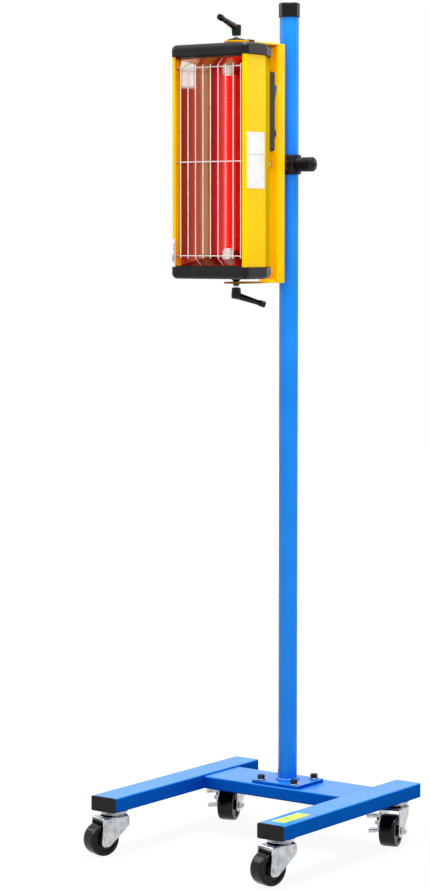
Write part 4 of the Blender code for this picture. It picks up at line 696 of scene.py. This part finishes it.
for corner in ("front_left", "front_right", "rear_left", "rear_right"):
    place = casterPlace(corner)
    rear = corner.startswith("rear")
    label = corner.title().replace("_", "")
    low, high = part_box("caster_race_" + corner)
    addPiece("casterRace" + label, moved(raceShape(low.z, high.z), place), zincPlate, "stand",
             ["caster_race_" + corner])
    fork = forkShape()
    pivot, ears = earShape()
    fork = gathered(fork, ears) if rear else fork
    addPiece("casterFork" + label, moved(fork, place), zincPlate, "fork_" + corner,
             ["caster_fork_" + corner])
    hubPlace = place @ Matrix.Translation((0, -casterSizes["trail"], casterSizes["wheelRadius"]))
    addPiece("casterWheel" + label, moved(wheelShape(), hubPlace), glossBlack, "wheel_" + corner,
             ["caster_wheel_" + corner])
    addPiece("casterAxle" + label, moved(axleShape(rear), hubPlace), zincPlate, "wheel_" + corner,
             ["caster_axle_" + corner])
    if rear:
        tilt = Matrix.Translation(pivot) @ Matrix.Rotation(math.radians(-brakeSizes["tilt"]), 4, "Y")
        addPiece("casterBrake" + label, moved(brakeShape(), place @ tilt), zincPlate, "brake_" + corner,
                 ["caster_brake_" + corner])
print("casters ready")


# clamp on the post, in the frame of the post's swivel

clampSizes = {"bushInner": 16.3 * mm, "bushOuter": 17.7 * mm, "lipReach": 2.2 * mm, "lipBottom": 14.8 * mm,
              "lipTop": 16.2 * mm, "bore": 18 * mm, "outer": 20.8 * mm, "half": 14.5 * mm, "neck": 14 * mm,
              "neckEnd": 57.7 * mm, "boss": 11.5 * mm, "bossEnd": 28.8 * mm, "edge": 1.2 * mm}
knobSizes = {"start": 29.1 * mm, "end": 49.1 * mm, "radius": 12 * mm, "coneEnd": 55.6 * mm, "tip": 2.2 * mm,
             "flutes": 6, "fluteLine": 15.2 * mm, "flute": 4 * mm, "screw": 4 * mm, "screwEnd": 18 * mm}
clampPlace = Matrix.Translation(joints["post_swivel"]["pos_m"])


def collarShape():
    s = clampSizes
    ring = lathed(filleted([(0, s["half"], 0), (s["outer"], s["half"], s["edge"]),
                            (s["outer"], -s["half"], s["edge"]), (0, -s["half"], 0)]), 96)
    neck = lathed(filleted([(0, s["neckEnd"], 0), (s["neck"], s["neckEnd"], s["edge"]),
                            (s["neck"], s["bushInner"], 0), (0, s["bushInner"], 0)]), 96)
    boss = lathed(filleted([(0, s["bossEnd"], 0), (s["boss"], s["bossEnd"], s["edge"]),
                            (s["boss"] + 1.2 * mm, s["bushInner"], 0), (0, s["bushInner"], 0)]), 96)
    body = cutShape(ring, moved(neck, Matrix.Rotation(math.radians(90), 4, "X")), "UNION")
    body = cutShape(body, moved(boss, lyingX), "UNION")
    bore = lathed([(0, 2 * s["half"]), (s["bore"], 2 * s["half"]), (s["bore"], -2 * s["half"]), (0, -2 * s["half"])], 96)
    body = cutShape(body, bore, "DIFFERENCE")
    screwHole = lathed([(0, 2 * s["bossEnd"]), (knobSizes["screw"] + 0.3 * mm, 2 * s["bossEnd"]),
                        (knobSizes["screw"] + 0.3 * mm, s["bushInner"]), (0, s["bushInner"])], 48)
    return cutShape(body, moved(screwHole, lyingX), "DIFFERENCE")


def knobShape():
    s = knobSizes
    outline = []
    for i in range(180):
        angle = math.radians(2 * i)
        away = (angle + math.pi / s["flutes"]) % (2 * math.pi / s["flutes"]) - math.pi / s["flutes"]
        away = math.pi / s["flutes"] - abs(away)
        under = s["flute"] ** 2 - (s["fluteLine"] * math.sin(away)) ** 2
        radius = s["radius"]
        if under > 0:
            radius = min(radius, s["fluteLine"] * math.cos(away) - math.sqrt(under))
        outline.append((radius * math.cos(angle), radius * math.sin(angle)))
    grip = prism([outline], s["end"] - s["start"], 0.9 * mm, 4)
    moved(grip, Matrix.Translation((0, 0, (s["start"] + s["end"]) / 2)))
    cone = lathed(filleted([(0, s["coneEnd"], 0), (s["tip"], s["coneEnd"], 0.8 * mm), (s["radius"] * 0.45, s["end"] + 2.4 * mm, 12 * mm),
                            (s["radius"] - 1.6 * mm, s["end"] - 0.2 * mm, 0), (0, s["end"] - 0.2 * mm, 0)], 10), 96)
    screw = lathed(filleted([(0, s["start"] + 1 * mm, 0), (s["screw"], s["start"] + 1 * mm, 0),
                             (s["screw"], s["screwEnd"], 0.6 * mm), (0, s["screwEnd"], 0)]), 48)
    return moved(gathered(grip, cone, screw), lyingX)


s = clampSizes
bush = lathed(filleted([
    (s["bushInner"], s["lipTop"], 0.3 * mm), (s["bushOuter"] + s["lipReach"], s["lipTop"], 0.6 * mm),
    (s["bushOuter"] + s["lipReach"], s["lipBottom"], 0.3 * mm), (s["bushOuter"], s["lipBottom"], 0),
    (s["bushOuter"], -s["lipBottom"], 0), (s["bushOuter"] + s["lipReach"], -s["lipBottom"], 0.3 * mm),
    (s["bushOuter"] + s["lipReach"], -s["lipTop"], 0.6 * mm), (s["bushInner"], -s["lipTop"], 0.3 * mm)]), 96, True)
addPiece("clampBush", moved(bush, clampPlace), blackPlastic, "slider", ["clamp_bush"])
addPiece("clampCollar", moved(collarShape(), clampPlace), blackPlastic, "collar", ["clamp_collar"], 30)
addPiece("clampKnob", moved(knobShape(), clampPlace), blackPlastic, "knob", ["clamp_knob"])
print("clamp ready")


# yoke: a channel up the back and an arm at each end, in the clamp's frame

yokeSizes = {"half": 20 * mm, "web": 61 * mm, "back": 41 * mm, "sheet": 3 * mm, "bend": 4.5 * mm, "edge": 0.4 * mm,
             "armBottom": 193.45 * mm, "armTop": 196.45 * mm, "reach": 150 * mm, "hole": 3.3 * mm, "armBend": 5 * mm}
yokeBoltSizes = {"head": 7 * mm, "height": 5 * mm, "shank": 4 * mm, "shankEnd": 40.6 * mm, "seat": 61.3 * mm}


def yokeShape():
    s = yokeSizes
    channel = bentSheet([(-s["half"], -s["back"], 0), (-s["half"], -s["web"], s["bend"]), (s["half"], -s["web"], s["bend"]),
                         (s["half"], -s["back"], 0)], s["sheet"])
    body = prism([channel], 2 * s["armTop"], s["edge"], 2)
    end = arcPoints((0, -s["reach"]), s["half"], 180, 360, 40)
    hole = arcPoints((0, -s["reach"]), s["hole"], 0, 360, 40)[:-1]
    for sign in (1, -1):
        arm = prism([[*end, (s["half"], -s["web"] + s["sheet"] / 2), (-s["half"], -s["web"] + s["sheet"] / 2)], hole],
                    s["sheet"], s["edge"], 2)
        moved(arm, Matrix.Translation((0, 0, sign * (s["armBottom"] + s["armTop"]) / 2)))
        body = cutShape(body, arm, "UNION")
        # the inner corner of the bend, where the sheet turns from the web into the arm
        height = sign * s["armBottom"]
        turn = arcPoints((-s["web"] - s["armBend"], height - sign * s["armBend"]), s["armBend"], 0, sign * 90, 8)
        corner = [(-s["web"] + 0.5 * mm, height + sign * 0.5 * mm), (-s["web"] + 0.5 * mm, turn[0][1]), *turn,
                  (turn[-1][0], height + sign * 0.5 * mm)]
        web = prism([corner], 2 * s["half"] - 2 * s["bend"])
        body = gathered(body, moved(web, alongX))
    return body


addPiece("yoke", moved(yokeShape(), clampPlace), yellowPaint, "yoke", ["yoke"], 30)
s = yokeBoltSizes
yokeBolt = lathed(filleted([(0, s["seat"] + s["height"], 0), (s["head"] * 0.75, s["seat"] + s["height"], 2 * mm),
                            (s["head"], s["seat"] + 1 * mm, 1 * mm), (s["head"], s["seat"], 0), (s["shank"], s["seat"], 0),
                            (s["shank"], s["shankEnd"], 0.5 * mm), (0, s["shankEnd"], 0)]), 48)
moved(yokeBolt, clampPlace @ Matrix.Rotation(math.radians(90), 4, "X"))
addPiece("yokeBolt", yokeBolt, zincPlate, "yoke", ["yoke_bolt"])
print("yoke ready")


# lamp head, in the frame of its pivot line at the middle of its height

headSizes = {"half": 74 * mm, "front": 76.6 * mm, "shoulder": 22 * mm, "rear": 38 * mm, "rearHalf": 40 * mm,
             "wall": 2 * mm, "lip": 7.3 * mm, "corner": 6 * mm, "height": 168.95 * mm}
capSizes = {"face": 169.25 * mm, "top": 188.25 * mm, "overhang": 2.5 * mm, "corner": 10 * mm, "edge": 9 * mm,
            "spigot": 2 * mm, "boss": 10.4 * mm, "bossTop": 5.25 * mm, "bossEnd": 193.15 * mm, "hole": 3.3 * mm,
            "screw": 1.9 * mm, "screwHeight": 174.5 * mm}
headPlace = Matrix.Translation(joints["lamp_turn"]["pos_m"])
s = headSizes
headPlan = [(-s["half"], -s["front"]), (s["half"], -s["front"]), (s["half"], -s["shoulder"]),
            (s["rearHalf"], s["rear"]), (-s["rearHalf"], s["rear"]), (-s["half"], -s["shoulder"])]

mouth = s["half"] - s["lip"]
wallPath = [(mouth, -s["front"], 0)] + [(*at, s["corner"]) for at in headPlan[1:] + headPlan[:1]] + [(-mouth, -s["front"], 0)]
shell = prism([bentSheet(wallPath, s["wall"], 8)], 2 * s["height"], 0.4 * mm, 2)
addPiece("housingShell", moved(shell, headPlace), yellowPaint, "head", ["housing_shell"])


def capShape():
    s = capSizes
    outline = filleted([(*at, s["corner"]) for at in grown(headPlan, s["overhang"])], 10)
    height = s["top"] - s["face"]
    body = prism([outline], height)
    bevelSharp(body, s["edge"], 10, lambda edge: min(v.co.z for v in edge.verts) > height / 2 - 0.1 * mm)
    bevelSharp(body, 0.6 * mm, 2, lambda edge: max(v.co.z for v in edge.verts) < 0.1 * mm - height / 2)
    moved(body, Matrix.Translation((0, 0, (s["face"] + s["top"]) / 2)))
    spigot = prism([filleted([(*at, headSizes["corner"]) for at in grown(headPlan, -headSizes["wall"] - 0.3 * mm)])], s["spigot"])
    moved(spigot, Matrix.Translation((0, 0, s["face"] - s["spigot"] / 2)))
    boss = lathed(filleted([
        (s["hole"], s["bossEnd"], 0), (s["bossTop"], s["bossEnd"], 0.4 * mm), (s["bossTop"], s["bossEnd"] - 1.4 * mm, 1 * mm),
        (s["boss"], s["top"], 1 * mm), (s["boss"], s["top"] - 1 * mm, 0), (s["hole"], s["top"] - 1 * mm, 0)]), 64, True)
    return gathered(body, spigot, boss)


turnedOver = Matrix.Rotation(math.pi, 4, "Y")
addPiece("topCap", moved(capShape(), headPlace), blackPlastic, "head", ["top_cap"])
addPiece("bottomCap", moved(capShape(), headPlace @ turnedOver), blackPlastic, "head", ["bottom_cap"])
screws = []
for x in (-27 * mm, 31 * mm):
    s = capSizes
    screw = lathed(filleted([(0, 0.5 * mm, 0), (s["screw"] * 0.6, 0.5 * mm, 0.3 * mm), (s["screw"], 0, 0.2 * mm),
                             (s["screw"], -1 * mm, 0), (0, -1 * mm, 0)]), 32)
    screws.append(moved(screw, Matrix.Translation((x, -headSizes["front"] - s["overhang"], -s["screwHeight"]))
                        @ Matrix.Rotation(math.radians(90), 4, "X")))
addPiece("capScrews", moved(gathered(*screws), headPlace), blackOxide, "head")
print("housing ready")


# reflector, tube and guard

reflectorSizes = {"half": 70.7 * mm, "back": 7.6 * mm, "depth": 47 * mm, "wall": 1 * mm, "height": 166.95 * mm,
                  "drop": 20 * mm, "clearance": 0.3 * mm, "steps": 60}
tubeSizes = {"y": -23.1 * mm, "radius": 6 * mm, "base": 7 * mm, "neck": 138.75 * mm, "half": 158.75 * mm,
             "socket": 9.5 * mm, "socketMouth": 142.75 * mm, "bore": 7.3 * mm}
guardSizes = {"wire": 1 * mm, "barY": -70.6 * mm, "railY": -69.1 * mm, "railHalf": 71.7 * mm, "rail": 151.05 * mm,
              "bar": 155.05 * mm, "pitch": 15 * mm, "sideBars": 4, "weld": 1.25 * mm, "legs": (-2, 1), "footY": -57 * mm,
              "foot": 165.3 * mm}


def trough(clearance, outward=0.0):
    s = reflectorSizes
    points = []
    for i in range(s["steps"] + 1):
        t = 2 * i / s["steps"] - 1
        half = s["half"] - clearance
        normal = Vector((2 * s["depth"] * t, half)).normalized()
        points.append((half * t + normal.x * outward, -s["back"] - clearance - s["depth"] * t * t + normal.y * outward))
    return points


s = reflectorSizes
sheet = prism([trough(0) + trough(0, s["wall"])[::-1]], 2 * s["height"])
addPiece("reflector", moved(sheet, headPlace), polishedAluminium, "head", ["reflector"], 60)
for name, node, matrix, finish in (
        ("reflectorEndTop", "reflector_end_top", headPlace, paintedLightAluminium),
        ("reflectorEndBottom", "reflector_end_bottom", headPlace @ turnedOver, paintedShadeAluminium)):
    hole = arcPoints((0, tubeSizes["y"]), tubeSizes["socket"] + 0.4 * mm, 0, 360, 48)[:-1]
    plate = prism([trough(s["clearance"]), hole], s["wall"])
    for vert in plate.verts:
        vert.co.z += s["height"] - s["wall"] / 2 - (vert.co.y + s["back"] + s["depth"]) * s["drop"] / s["depth"]
    addPiece(name, moved(plate, matrix), finish, "head", [node])

s = tubeSizes
tubePlace = headPlace @ Matrix.Translation((0, s["y"], 0))
tube = lathed([(0, s["neck"]), (s["radius"], s["neck"]), (s["radius"], -s["neck"]), (0, -s["neck"])], 48)
addPiece("quartzTube", moved(tube, tubePlace), glowingQuartz, "head", ["quartz_tube"])
bases = [moved(lathed(filleted([
    (0, s["half"], 0), (s["base"], s["half"], 0.5 * mm), (s["base"], s["neck"], 0.8 * mm), (0, s["neck"], 0)]), 48), matrix)
    for matrix in (Matrix.Identity(4), turnedOver)]
addPiece("tubeBases", moved(gathered(*bases), tubePlace), whiteCeramic, "head")
for name, node, matrix in (("tubeSocketTop", "tube_socket_top", tubePlace),
                           ("tubeSocketBottom", "tube_socket_bottom", tubePlace @ turnedOver)):
    top = reflectorSizes["height"]
    socket = lathed(filleted([
        (0, top, 0), (s["socket"], top, 0.5 * mm), (s["socket"], s["socketMouth"], 0.8 * mm), (s["bore"], s["socketMouth"], 0.4 * mm),
        (s["bore"], s["half"] + 0.3 * mm, 0), (0, s["half"] + 0.3 * mm, 0)]), 48)
    addPiece(name, moved(socket, matrix), whiteCeramic, "head", [node])

s = guardSizes
paths, welds = [], []
for bar in range(-s["sideBars"], s["sideBars"] + 1):
    x = bar * s["pitch"]
    if bar in s["legs"]:
        foot = [(x, s["footY"], s["foot"]), (x, s["barY"], s["rail"] + 4 * mm)]
        paths.append(softPath(foot + [(x, y, -z) for x, y, z in reversed(foot)], 4 * mm))
    else:
        paths.append([(x, s["barY"], -s["bar"]), (x, s["barY"], s["bar"])])
    welds += [ball(s["weld"], (x, (s["barY"] + s["railY"]) / 2, z), 12) for z in (-s["rail"], 0, s["rail"])]
for z in (-s["rail"], 0, s["rail"]):
    paths.append([(-s["railHalf"], s["railY"], z), (s["railHalf"], s["railY"], z)])
guard = gathered(wires(paths, s["wire"], 3), *welds)
addPiece("wireGuard", moved(guard, headPlace), chromeWire, "head", ["wire_guard"], 60)
print("reflector ready")


# control box on the back of the head, with its rocker, gland and terminals

boxSizes = {"x": 25 * mm, "width": 30 * mm, "height": 130 * mm, "z": 83.55 * mm, "face": 38.3 * mm, "depth": 15 * mm,
            "corner": 5 * mm, "edge": 2.5 * mm, "wall": 2 * mm}
rockerSizes = {"z": 113.05 * mm, "y": 50.3 * mm, "length": 31 * mm, "width": 22 * mm, "rise": 11 * mm, "skirt": 5 * mm,
               "foot": 3 * mm, "tilt": 16.0, "pin": 1.5 * mm, "pinEnd": 12.2 * mm, "windowHalf": 18.2 * mm, "gap": 0.3 * mm,
               "cheek": 2.7 * mm, "cheekHalf": 5 * mm, "cheekDepth": 8 * mm}
glandSizes = {"z": 48.55 * mm, "radius": 11 * mm, "height": 10.5 * mm, "bore": 3.5 * mm, "stem": 6 * mm, "stemEnd": 7 * mm}
terminalSizes = {"width": 30 * mm, "depth": 14 * mm, "height": 20 * mm, "y": 28.7 * mm}


def boxAt(low, high):
    size = Vector(high) - Vector(low)
    work = prism([roundedBox(size.x, size.y, 0)], size.z)
    return moved(work, Matrix.Translation((Vector(low) + Vector(high)) / 2))


def controlBoxShape():
    s, r, g = boxSizes, rockerSizes, glandSizes
    panel = s["face"] + s["depth"]
    body = prism([roundedBox(s["width"], s["height"], s["corner"])], s["depth"])
    # seen along y, the outline's front side is its -z side
    bevelSharp(body, s["edge"], 6, lambda edge: max(v.co.z for v in edge.verts) < 0.1 * mm - s["depth"] / 2)
    moved(body, Matrix.Translation((s["x"], s["face"] + s["depth"] / 2, s["z"])) @ alongY)
    w, h, t = s["width"] / 2 - s["wall"], s["height"] / 2 - s["wall"], s["wall"]
    body = cutShape(body, boxAt((s["x"] - w, s["face"] - 5 * mm, s["z"] - h), (s["x"] + w, panel - t, s["z"] + h)), "DIFFERENCE")
    half = r["width"] / 2 + r["gap"]
    window = boxAt((s["x"] - half, panel - 8 * mm, r["z"] - r["windowHalf"]), (s["x"] + half, panel + 5 * mm, r["z"] + r["windowHalf"]))
    body = cutShape(body, window, "DIFFERENCE")
    hole = lathed([(0, panel + 5 * mm), (g["stem"] + 0.3 * mm, panel + 5 * mm), (g["stem"] + 0.3 * mm, panel - 5 * mm), (0, panel - 5 * mm)], 48)
    moved(hole, Matrix.Translation((s["x"], 0, g["z"])) @ Matrix.Rotation(math.radians(-90), 4, "X"))
    body = cutShape(body, hole, "DIFFERENCE")
    for sign in (-1, 1):
        near, far = sorted((s["x"] + sign * half, s["x"] + sign * (half + r["cheek"])))
        cheek = boxAt((near, panel - r["cheekDepth"], r["z"] - r["cheekHalf"]), (far, panel - t / 2, r["z"] + r["cheekHalf"]))
        body = cutShape(body, cheek, "UNION")
    pin = lathed([(0, r["pinEnd"] + r["gap"]), (r["pin"] + r["gap"], r["pinEnd"] + r["gap"]),
                  (r["pin"] + r["gap"], -r["pinEnd"] - r["gap"]), (0, -r["pinEnd"] - r["gap"])], 24)
    return cutShape(body, moved(pin, Matrix.Translation((s["x"], r["y"], r["z"])) @ lyingX), "DIFFERENCE")


def rockerShape():
    r = rockerSizes
    half = r["length"] / 2
    # a slightly hollow face, so that the rocker reads as two pressing ends
    face = [(r["rise"] - 0.9 * mm * math.cos(math.pi * i / 20) ** 2 * (1 if 0 < i < 20 else 0), half * (i / 10 - 1)) for i in range(21)]
    hollow = [(r["rise"] - 0.7 * mm * math.sin(math.pi * i / 20), z) for i, (_, z) in enumerate(face)]
    outline = hollow + [(r["rise"] - r["skirt"], half)] + arcPoints((0, 0), r["foot"], 110, 250, 12) + [(r["rise"] - r["skirt"], -half)]
    body = moved(prism([outline], r["width"], 0.5 * mm, 3), alongX)
    pins = moved(lathed([(0, r["pinEnd"]), (r["pin"], r["pinEnd"]), (r["pin"], -r["pinEnd"]), (0, -r["pinEnd"])], 24), lyingX)
    return gathered(body, pins)


addPiece("controlBox", moved(controlBoxShape(), headPlace), blackPlastic, "head", ["control_box"])
rockerPlace = headPlace @ Matrix.Translation((boxSizes["x"], rockerSizes["y"], rockerSizes["z"]))
rockerPlace = rockerPlace @ Matrix.Rotation(math.radians(-rockerSizes["tilt"]), 4, "X")
addPiece("powerRocker", moved(rockerShape(), rockerPlace), glossBlack, "rocker", ["power_rocker"])
s = glandSizes
gland = lathed(filleted([
    (s["bore"], s["height"], 0.8 * mm), (s["radius"] - 2 * mm, s["height"], 1 * mm), (s["radius"], s["height"] - 2 * mm, 1 * mm),
    (s["radius"], 0.3 * mm, 0.2 * mm), (s["stem"], 0.3 * mm, 0), (s["stem"], -s["stemEnd"], 0), (s["bore"], -s["stemEnd"], 0)]), 64, True)
moved(gland, headPlace @ Matrix.Translation((boxSizes["x"], boxSizes["face"] + boxSizes["depth"], s["z"]))
      @ Matrix.Rotation(math.radians(-90), 4, "X"))
addPiece("cordGland", gland, blackPlastic, "head", ["cord_gland"])
s = terminalSizes
terminal = prism([roundedBox(s["width"], s["height"], 1 * mm)], s["depth"], 0.5 * mm, 2)
moved(terminal, headPlace @ Matrix.Translation((0, s["y"], boxSizes["z"])) @ alongY)
addPiece("terminalBlock", terminal, blackPlastic, "head", ["terminal_block"])
print("control box ready")


# pivot studs, washer, spacer and clamping levers, in the clamp's frame

pivotSizes = {"reach": 150 * mm, "stud": 3 * mm, "studStart": 176.55 * mm, "studTop": 216.75 * mm, "studBottom": 215.25 * mm,
              "washerBottom": 196.75 * mm, "washerTop": 200.75 * mm, "washer": 15 * mm, "washerNeck": 6 * mm, "rim": 1.6 * mm,
              "hole": 3.3 * mm, "tongueEdge": 20.3 * mm, "tongueY": -136 * mm, "tongueWidth": 12 * mm, "tongueEnd": 191.45 * mm,
              "spacer": 5.25 * mm, "spacerEnd": 199.25 * mm}
leverSizes = {"neck": 4.5 * mm, "neckLength": 3.4 * mm, "foot": 7.2 * mm, "hub": 8 * mm, "top": 21.6 * mm, "round": 2.8 * mm,
              "root": 5.5 * mm, "rootHeight": 16.1 * mm, "reach": 43 * mm, "rise": 14 * mm, "tip": 4.6 * mm, "end": 5.3 * mm,
              "bore": 3.3 * mm, "boreDepth": 16 * mm}
s = pivotSizes
pivotPlace = clampPlace @ Matrix.Translation((0, -s["reach"], 0))
for name, node, top, matrix in (("pivotStudTop", "pivot_stud_top", s["studTop"], pivotPlace),
                                ("pivotStudBottom", "pivot_stud_bottom", s["studBottom"], pivotPlace @ turnedOver)):
    stud = lathed(filleted([(0, top, 0), (s["stud"], top, 0.6 * mm), (s["stud"], s["studStart"], 0.6 * mm), (0, s["studStart"], 0)]), 32)
    addPiece(name, moved(stud, matrix), zincPlate, "head", [node])
washer = lathed(filleted([
    (s["hole"], s["washerTop"], 0), (s["washerNeck"], s["washerTop"], 0.5 * mm), (s["washer"], s["washerBottom"] + s["rim"], 1.2 * mm),
    (s["washer"], s["washerBottom"], 0.2 * mm), (s["hole"], s["washerBottom"], 0)]), 64, True)
tongue = bentSheet([(s["tongueEdge"], s["tongueEnd"], 0), (s["tongueEdge"], s["washerBottom"], 0),
                    (s["washerNeck"], s["washerBottom"], 0)][::-1], s["rim"])
tongue = moved(prism([tongue], s["tongueWidth"], 0.4 * mm, 3), Matrix.Translation((0, s["reach"] + s["tongueY"], 0)) @ alongY)
addPiece("tensionWasher", moved(gathered(washer, tongue), pivotPlace), blackPlastic, "yoke", ["tension_washer"])
spacer = lathed(filleted([(s["hole"], -s["washerBottom"], 0), (s["spacer"], -s["washerBottom"], 0.3 * mm),
                          (s["spacer"], -s["spacerEnd"], 0.3 * mm), (s["hole"], -s["spacerEnd"], 0)]), 48, True)
addPiece("lowerSpacer", moved(spacer, pivotPlace), blackPlastic, "yoke", ["lower_spacer"])


def leverShape():
    s = leverSizes
    hub = lathed(filleted([
        (0, s["top"], 0), (s["hub"], s["top"], s["round"]), (s["hub"] + 0.1 * mm, s["top"] * 0.6, 20 * mm), (s["foot"], s["neckLength"], 0.8 * mm),
        (s["neck"], s["neckLength"], 0), (0, s["neckLength"], 0)], 8), 64)
    start, end = Vector((0, 0, s["rootHeight"])), Vector((0, -s["reach"], s["rootHeight"] + s["rise"]))
    length = (end - start).length
    arm = lathed(filleted([
        (0, length + s["end"], 0), (s["end"], length + s["end"], 2.6 * mm), (s["end"], length - 2.5 * mm, 3 * mm),
        (s["tip"] - 0.4 * mm, length - 9 * mm, 8 * mm), (s["root"], s["hub"] - 1 * mm, 4 * mm), (s["root"] + 0.8 * mm, 0, 0), (0, 0, 0)], 8), 48)
    moved(arm, Matrix.Translation(start) @ (end - start).to_track_quat("Z", "Y").to_matrix().to_4x4())
    return cutShape(hub, arm, "UNION")


def leverNeck():
    s = leverSizes
    return lathed(filleted([
        (s["bore"], s["neckLength"] - 0.1 * mm, 0), (s["neck"] - 0.1 * mm, s["neckLength"] - 0.1 * mm, 0), (s["neck"] - 0.1 * mm, 0, 0.4 * mm), (s["bore"], 0, 0)]), 48, True)


flipped = Matrix.Rotation(math.pi, 4, "X")
upperPlace = Matrix.Translation(joints["top_lever_turn"]["pos_m"])
lowerPlace = Matrix.Translation(joints["bottom_lever_turn"]["pos_m"]) @ Matrix.Rotation(math.radians(-54), 4, "Z") @ flipped
for end, place in (("Top", upperPlace), ("Bottom", lowerPlace)):
    body = "lever_" + end.lower()
    addPiece("clampLever" + end, moved(leverShape(), place), glossBlack, body, ["clamp_lever_" + end.lower()], 35)
    addPiece("leverNeck" + end, moved(leverNeck(), place), zincPlate, body)
print("levers ready")


# plain stickers: a white label on the head's side, one on its front lip and one on the right leg

stickerSizes = {"film": 0.25 * mm, "sideWidth": 48 * mm, "sideHeight": 89.6 * mm, "sideY": -49.75 * mm, "sideZ": 1.3 * mm,
                "corner": 1.5 * mm, "rule": 0.6 * mm, "ruleZ": 10.4 * mm, "lipWidth": 5 * mm, "lipHeight": 45 * mm,
                "lipZ": -146 * mm, "decalWidth": 25 * mm, "decalLength": 74 * mm, "decalY": 55 * mm}


def sticker(width, height, corner):
    return prism([roundedBox(width, height, corner)], stickerSizes["film"])


s = stickerSizes
sideX = headSizes["half"] + s["film"] / 2
label = moved(sticker(s["sideWidth"], s["sideHeight"], s["corner"]), laidAlong((sideX, s["sideY"], s["sideZ"]), (0, 1, 0), (0, 0, 1)))
addPiece("sideLabel", moved(label, headPlace), whiteLabel, "head")
rule = moved(sticker(s["sideWidth"] - 4 * mm, s["rule"], 0), laidAlong((sideX + 0.1 * mm, s["sideY"], s["ruleZ"]), (0, 1, 0), (0, 0, 1)))
addPiece("sideLabelRule", moved(rule, headPlace), greyPrint, "head")
lipX = -headSizes["half"] + headSizes["lip"] / 2
lipLabel = moved(sticker(s["lipWidth"], s["lipHeight"], 0.8 * mm),
                 Matrix.Translation((lipX, -headSizes["front"] - s["film"] / 2, s["lipZ"])) @ alongY)
addPiece("lipLabel", moved(lipLabel, headPlace), violetLabel, "head")
legLow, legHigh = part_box("right_leg")
decal = moved(sticker(s["decalWidth"], s["decalLength"], 1 * mm),
              Matrix.Translation(((legLow.x + legHigh.x) / 2, legLow.y + s["decalY"], legHigh.z + s["film"] / 2)))
addPiece("legDecal", decal, limeLabel, "stand")
print("stickers ready")


# studio: pale floor, soft light, and a camera at the photograph's angle

def seenDirectly(tree):
    # one where the camera sees this surface itself, or in metal or through glass
    ray = addNode(tree, "LightPath").outputs
    mirrored = addNode(tree, "Math", {"operation": "MAXIMUM"}, {0: ray["Is Glossy Ray"], 1: ray["Is Transmission Ray"]})
    return addNode(tree, "Math", {"operation": "MAXIMUM"}, {0: ray["Is Camera Ray"], 1: mirrored.outputs[0]}).outputs[0]


def buildStudio():
    bpy.ops.mesh.primitive_plane_add(size=14, location=(0, 0, -0.2 * mm))
    floor = bpy.context.object
    floor.name = "studioFloor"
    material = bpy.data.materials.new("paleFloor")
    material.use_nodes = True
    tree = material.node_tree
    shader = tree.nodes["Principled BSDF"]
    shader.inputs["Base Color"].default_value = hexColour("8A8A8A")
    shader.inputs["Roughness"].default_value = 0.7
    # paper that fades to plain white away from the lamp, so that no horizon shows behind it
    glow = addNode(tree, "Emission", inputs={"Color": hexColour("FFFFFF"), "Strength": 1.15})
    place = addNode(tree, "TexCoord").outputs["Object"]
    away = addNode(tree, "VectorMath", {"operation": "LENGTH"}, {0: place}).outputs["Value"]
    fade = addNode(tree, "MapRange", {"interpolation_type": "SMOOTHSTEP"}, {
        "Value": away, "From Min": 0.3, "From Max": 0.85, "To Min": 0.8, "To Max": 1.0})
    seen = seenDirectly(tree)
    share = addNode(tree, "Math", {"operation": "MULTIPLY"}, {0: seen, 1: fade.outputs["Result"]})
    mix = addNode(tree, "MixShader", inputs={0: share.outputs[0], 1: shader.outputs[0], 2: glow.outputs[0]})
    tree.links.new(mix.outputs[0], tree.nodes["Material Output"].inputs["Surface"])
    floor.data.materials.append(material)

    world = bpy.data.worlds.new("studio")
    bpy.context.scene.world = world
    world.use_nodes = True
    tree = world.node_tree
    tree.nodes["Background"].inputs["Color"].default_value = hexColour("F2F4F8")
    tree.nodes["Background"].inputs["Strength"].default_value = 0.2
    white = addNode(tree, "Background", inputs={"Color": hexColour("FFFFFF"), "Strength": 1.0})
    mix = addNode(tree, "MixShader", inputs={
        0: seenDirectly(tree), 1: tree.nodes["Background"].outputs[0], 2: white.outputs[0]})
    tree.links.new(mix.outputs[0], tree.nodes["World Output"].inputs["Surface"])

    # the key light spares the mirrors of the reflector, and the side light only puts a sheen on the head
    for name, spot, aim, size, power, spread in (
            ("keyLight", (3.0, -3.2, 2.1), (0, 0, 1.15), 1.4, 12, 45),
            ("leftLight", (-2.6, -0.9, 2.4), (0, 0, 1.0), 1.8, 15, 120),
            ("sideLight", (2.2, 2.9, 1.9), (0, 0, 1.25), 1.2, 0.9, 40),
            ("topLight", (0.1, -0.1, 3.3), (0, 0, 0.3), 1.6, 140, 180)):
        data = bpy.data.lights.new(name, "AREA")
        data.energy, data.size, data.spread = power, size, math.radians(spread)
        light = bpy.data.objects.new(name, data)
        light.visible_glossy = name != "keyLight"
        light.visible_diffuse = name != "sideLight"
        light.location = spot
        light.rotation_euler = (Vector(aim) - Vector(spot)).to_track_quat("-Z", "Y").to_euler()
        bpy.context.scene.collection.objects.link(light)


cameraSettings = {"place": (2.4892, -3.4790, 1.0210), "yaw": 36.448, "pitch": 4.589, "lens": 104.50, "sensor": 36.0}


def buildCamera():
    data = bpy.data.cameras.new("photoCamera")
    data.lens, data.sensor_width = cameraSettings["lens"], cameraSettings["sensor"]
    camera = bpy.data.objects.new("photoCamera", data)
    camera.location = cameraSettings["place"]
    camera.rotation_euler = (math.radians(90 - cameraSettings["pitch"]), 0, math.radians(cameraSettings["yaw"]))
    bpy.context.scene.collection.objects.link(camera)
    bpy.context.scene.camera = camera


buildStudio()
buildCamera()
bpy.context.scene.view_settings.view_transform = "Standard"
print("studio ready")
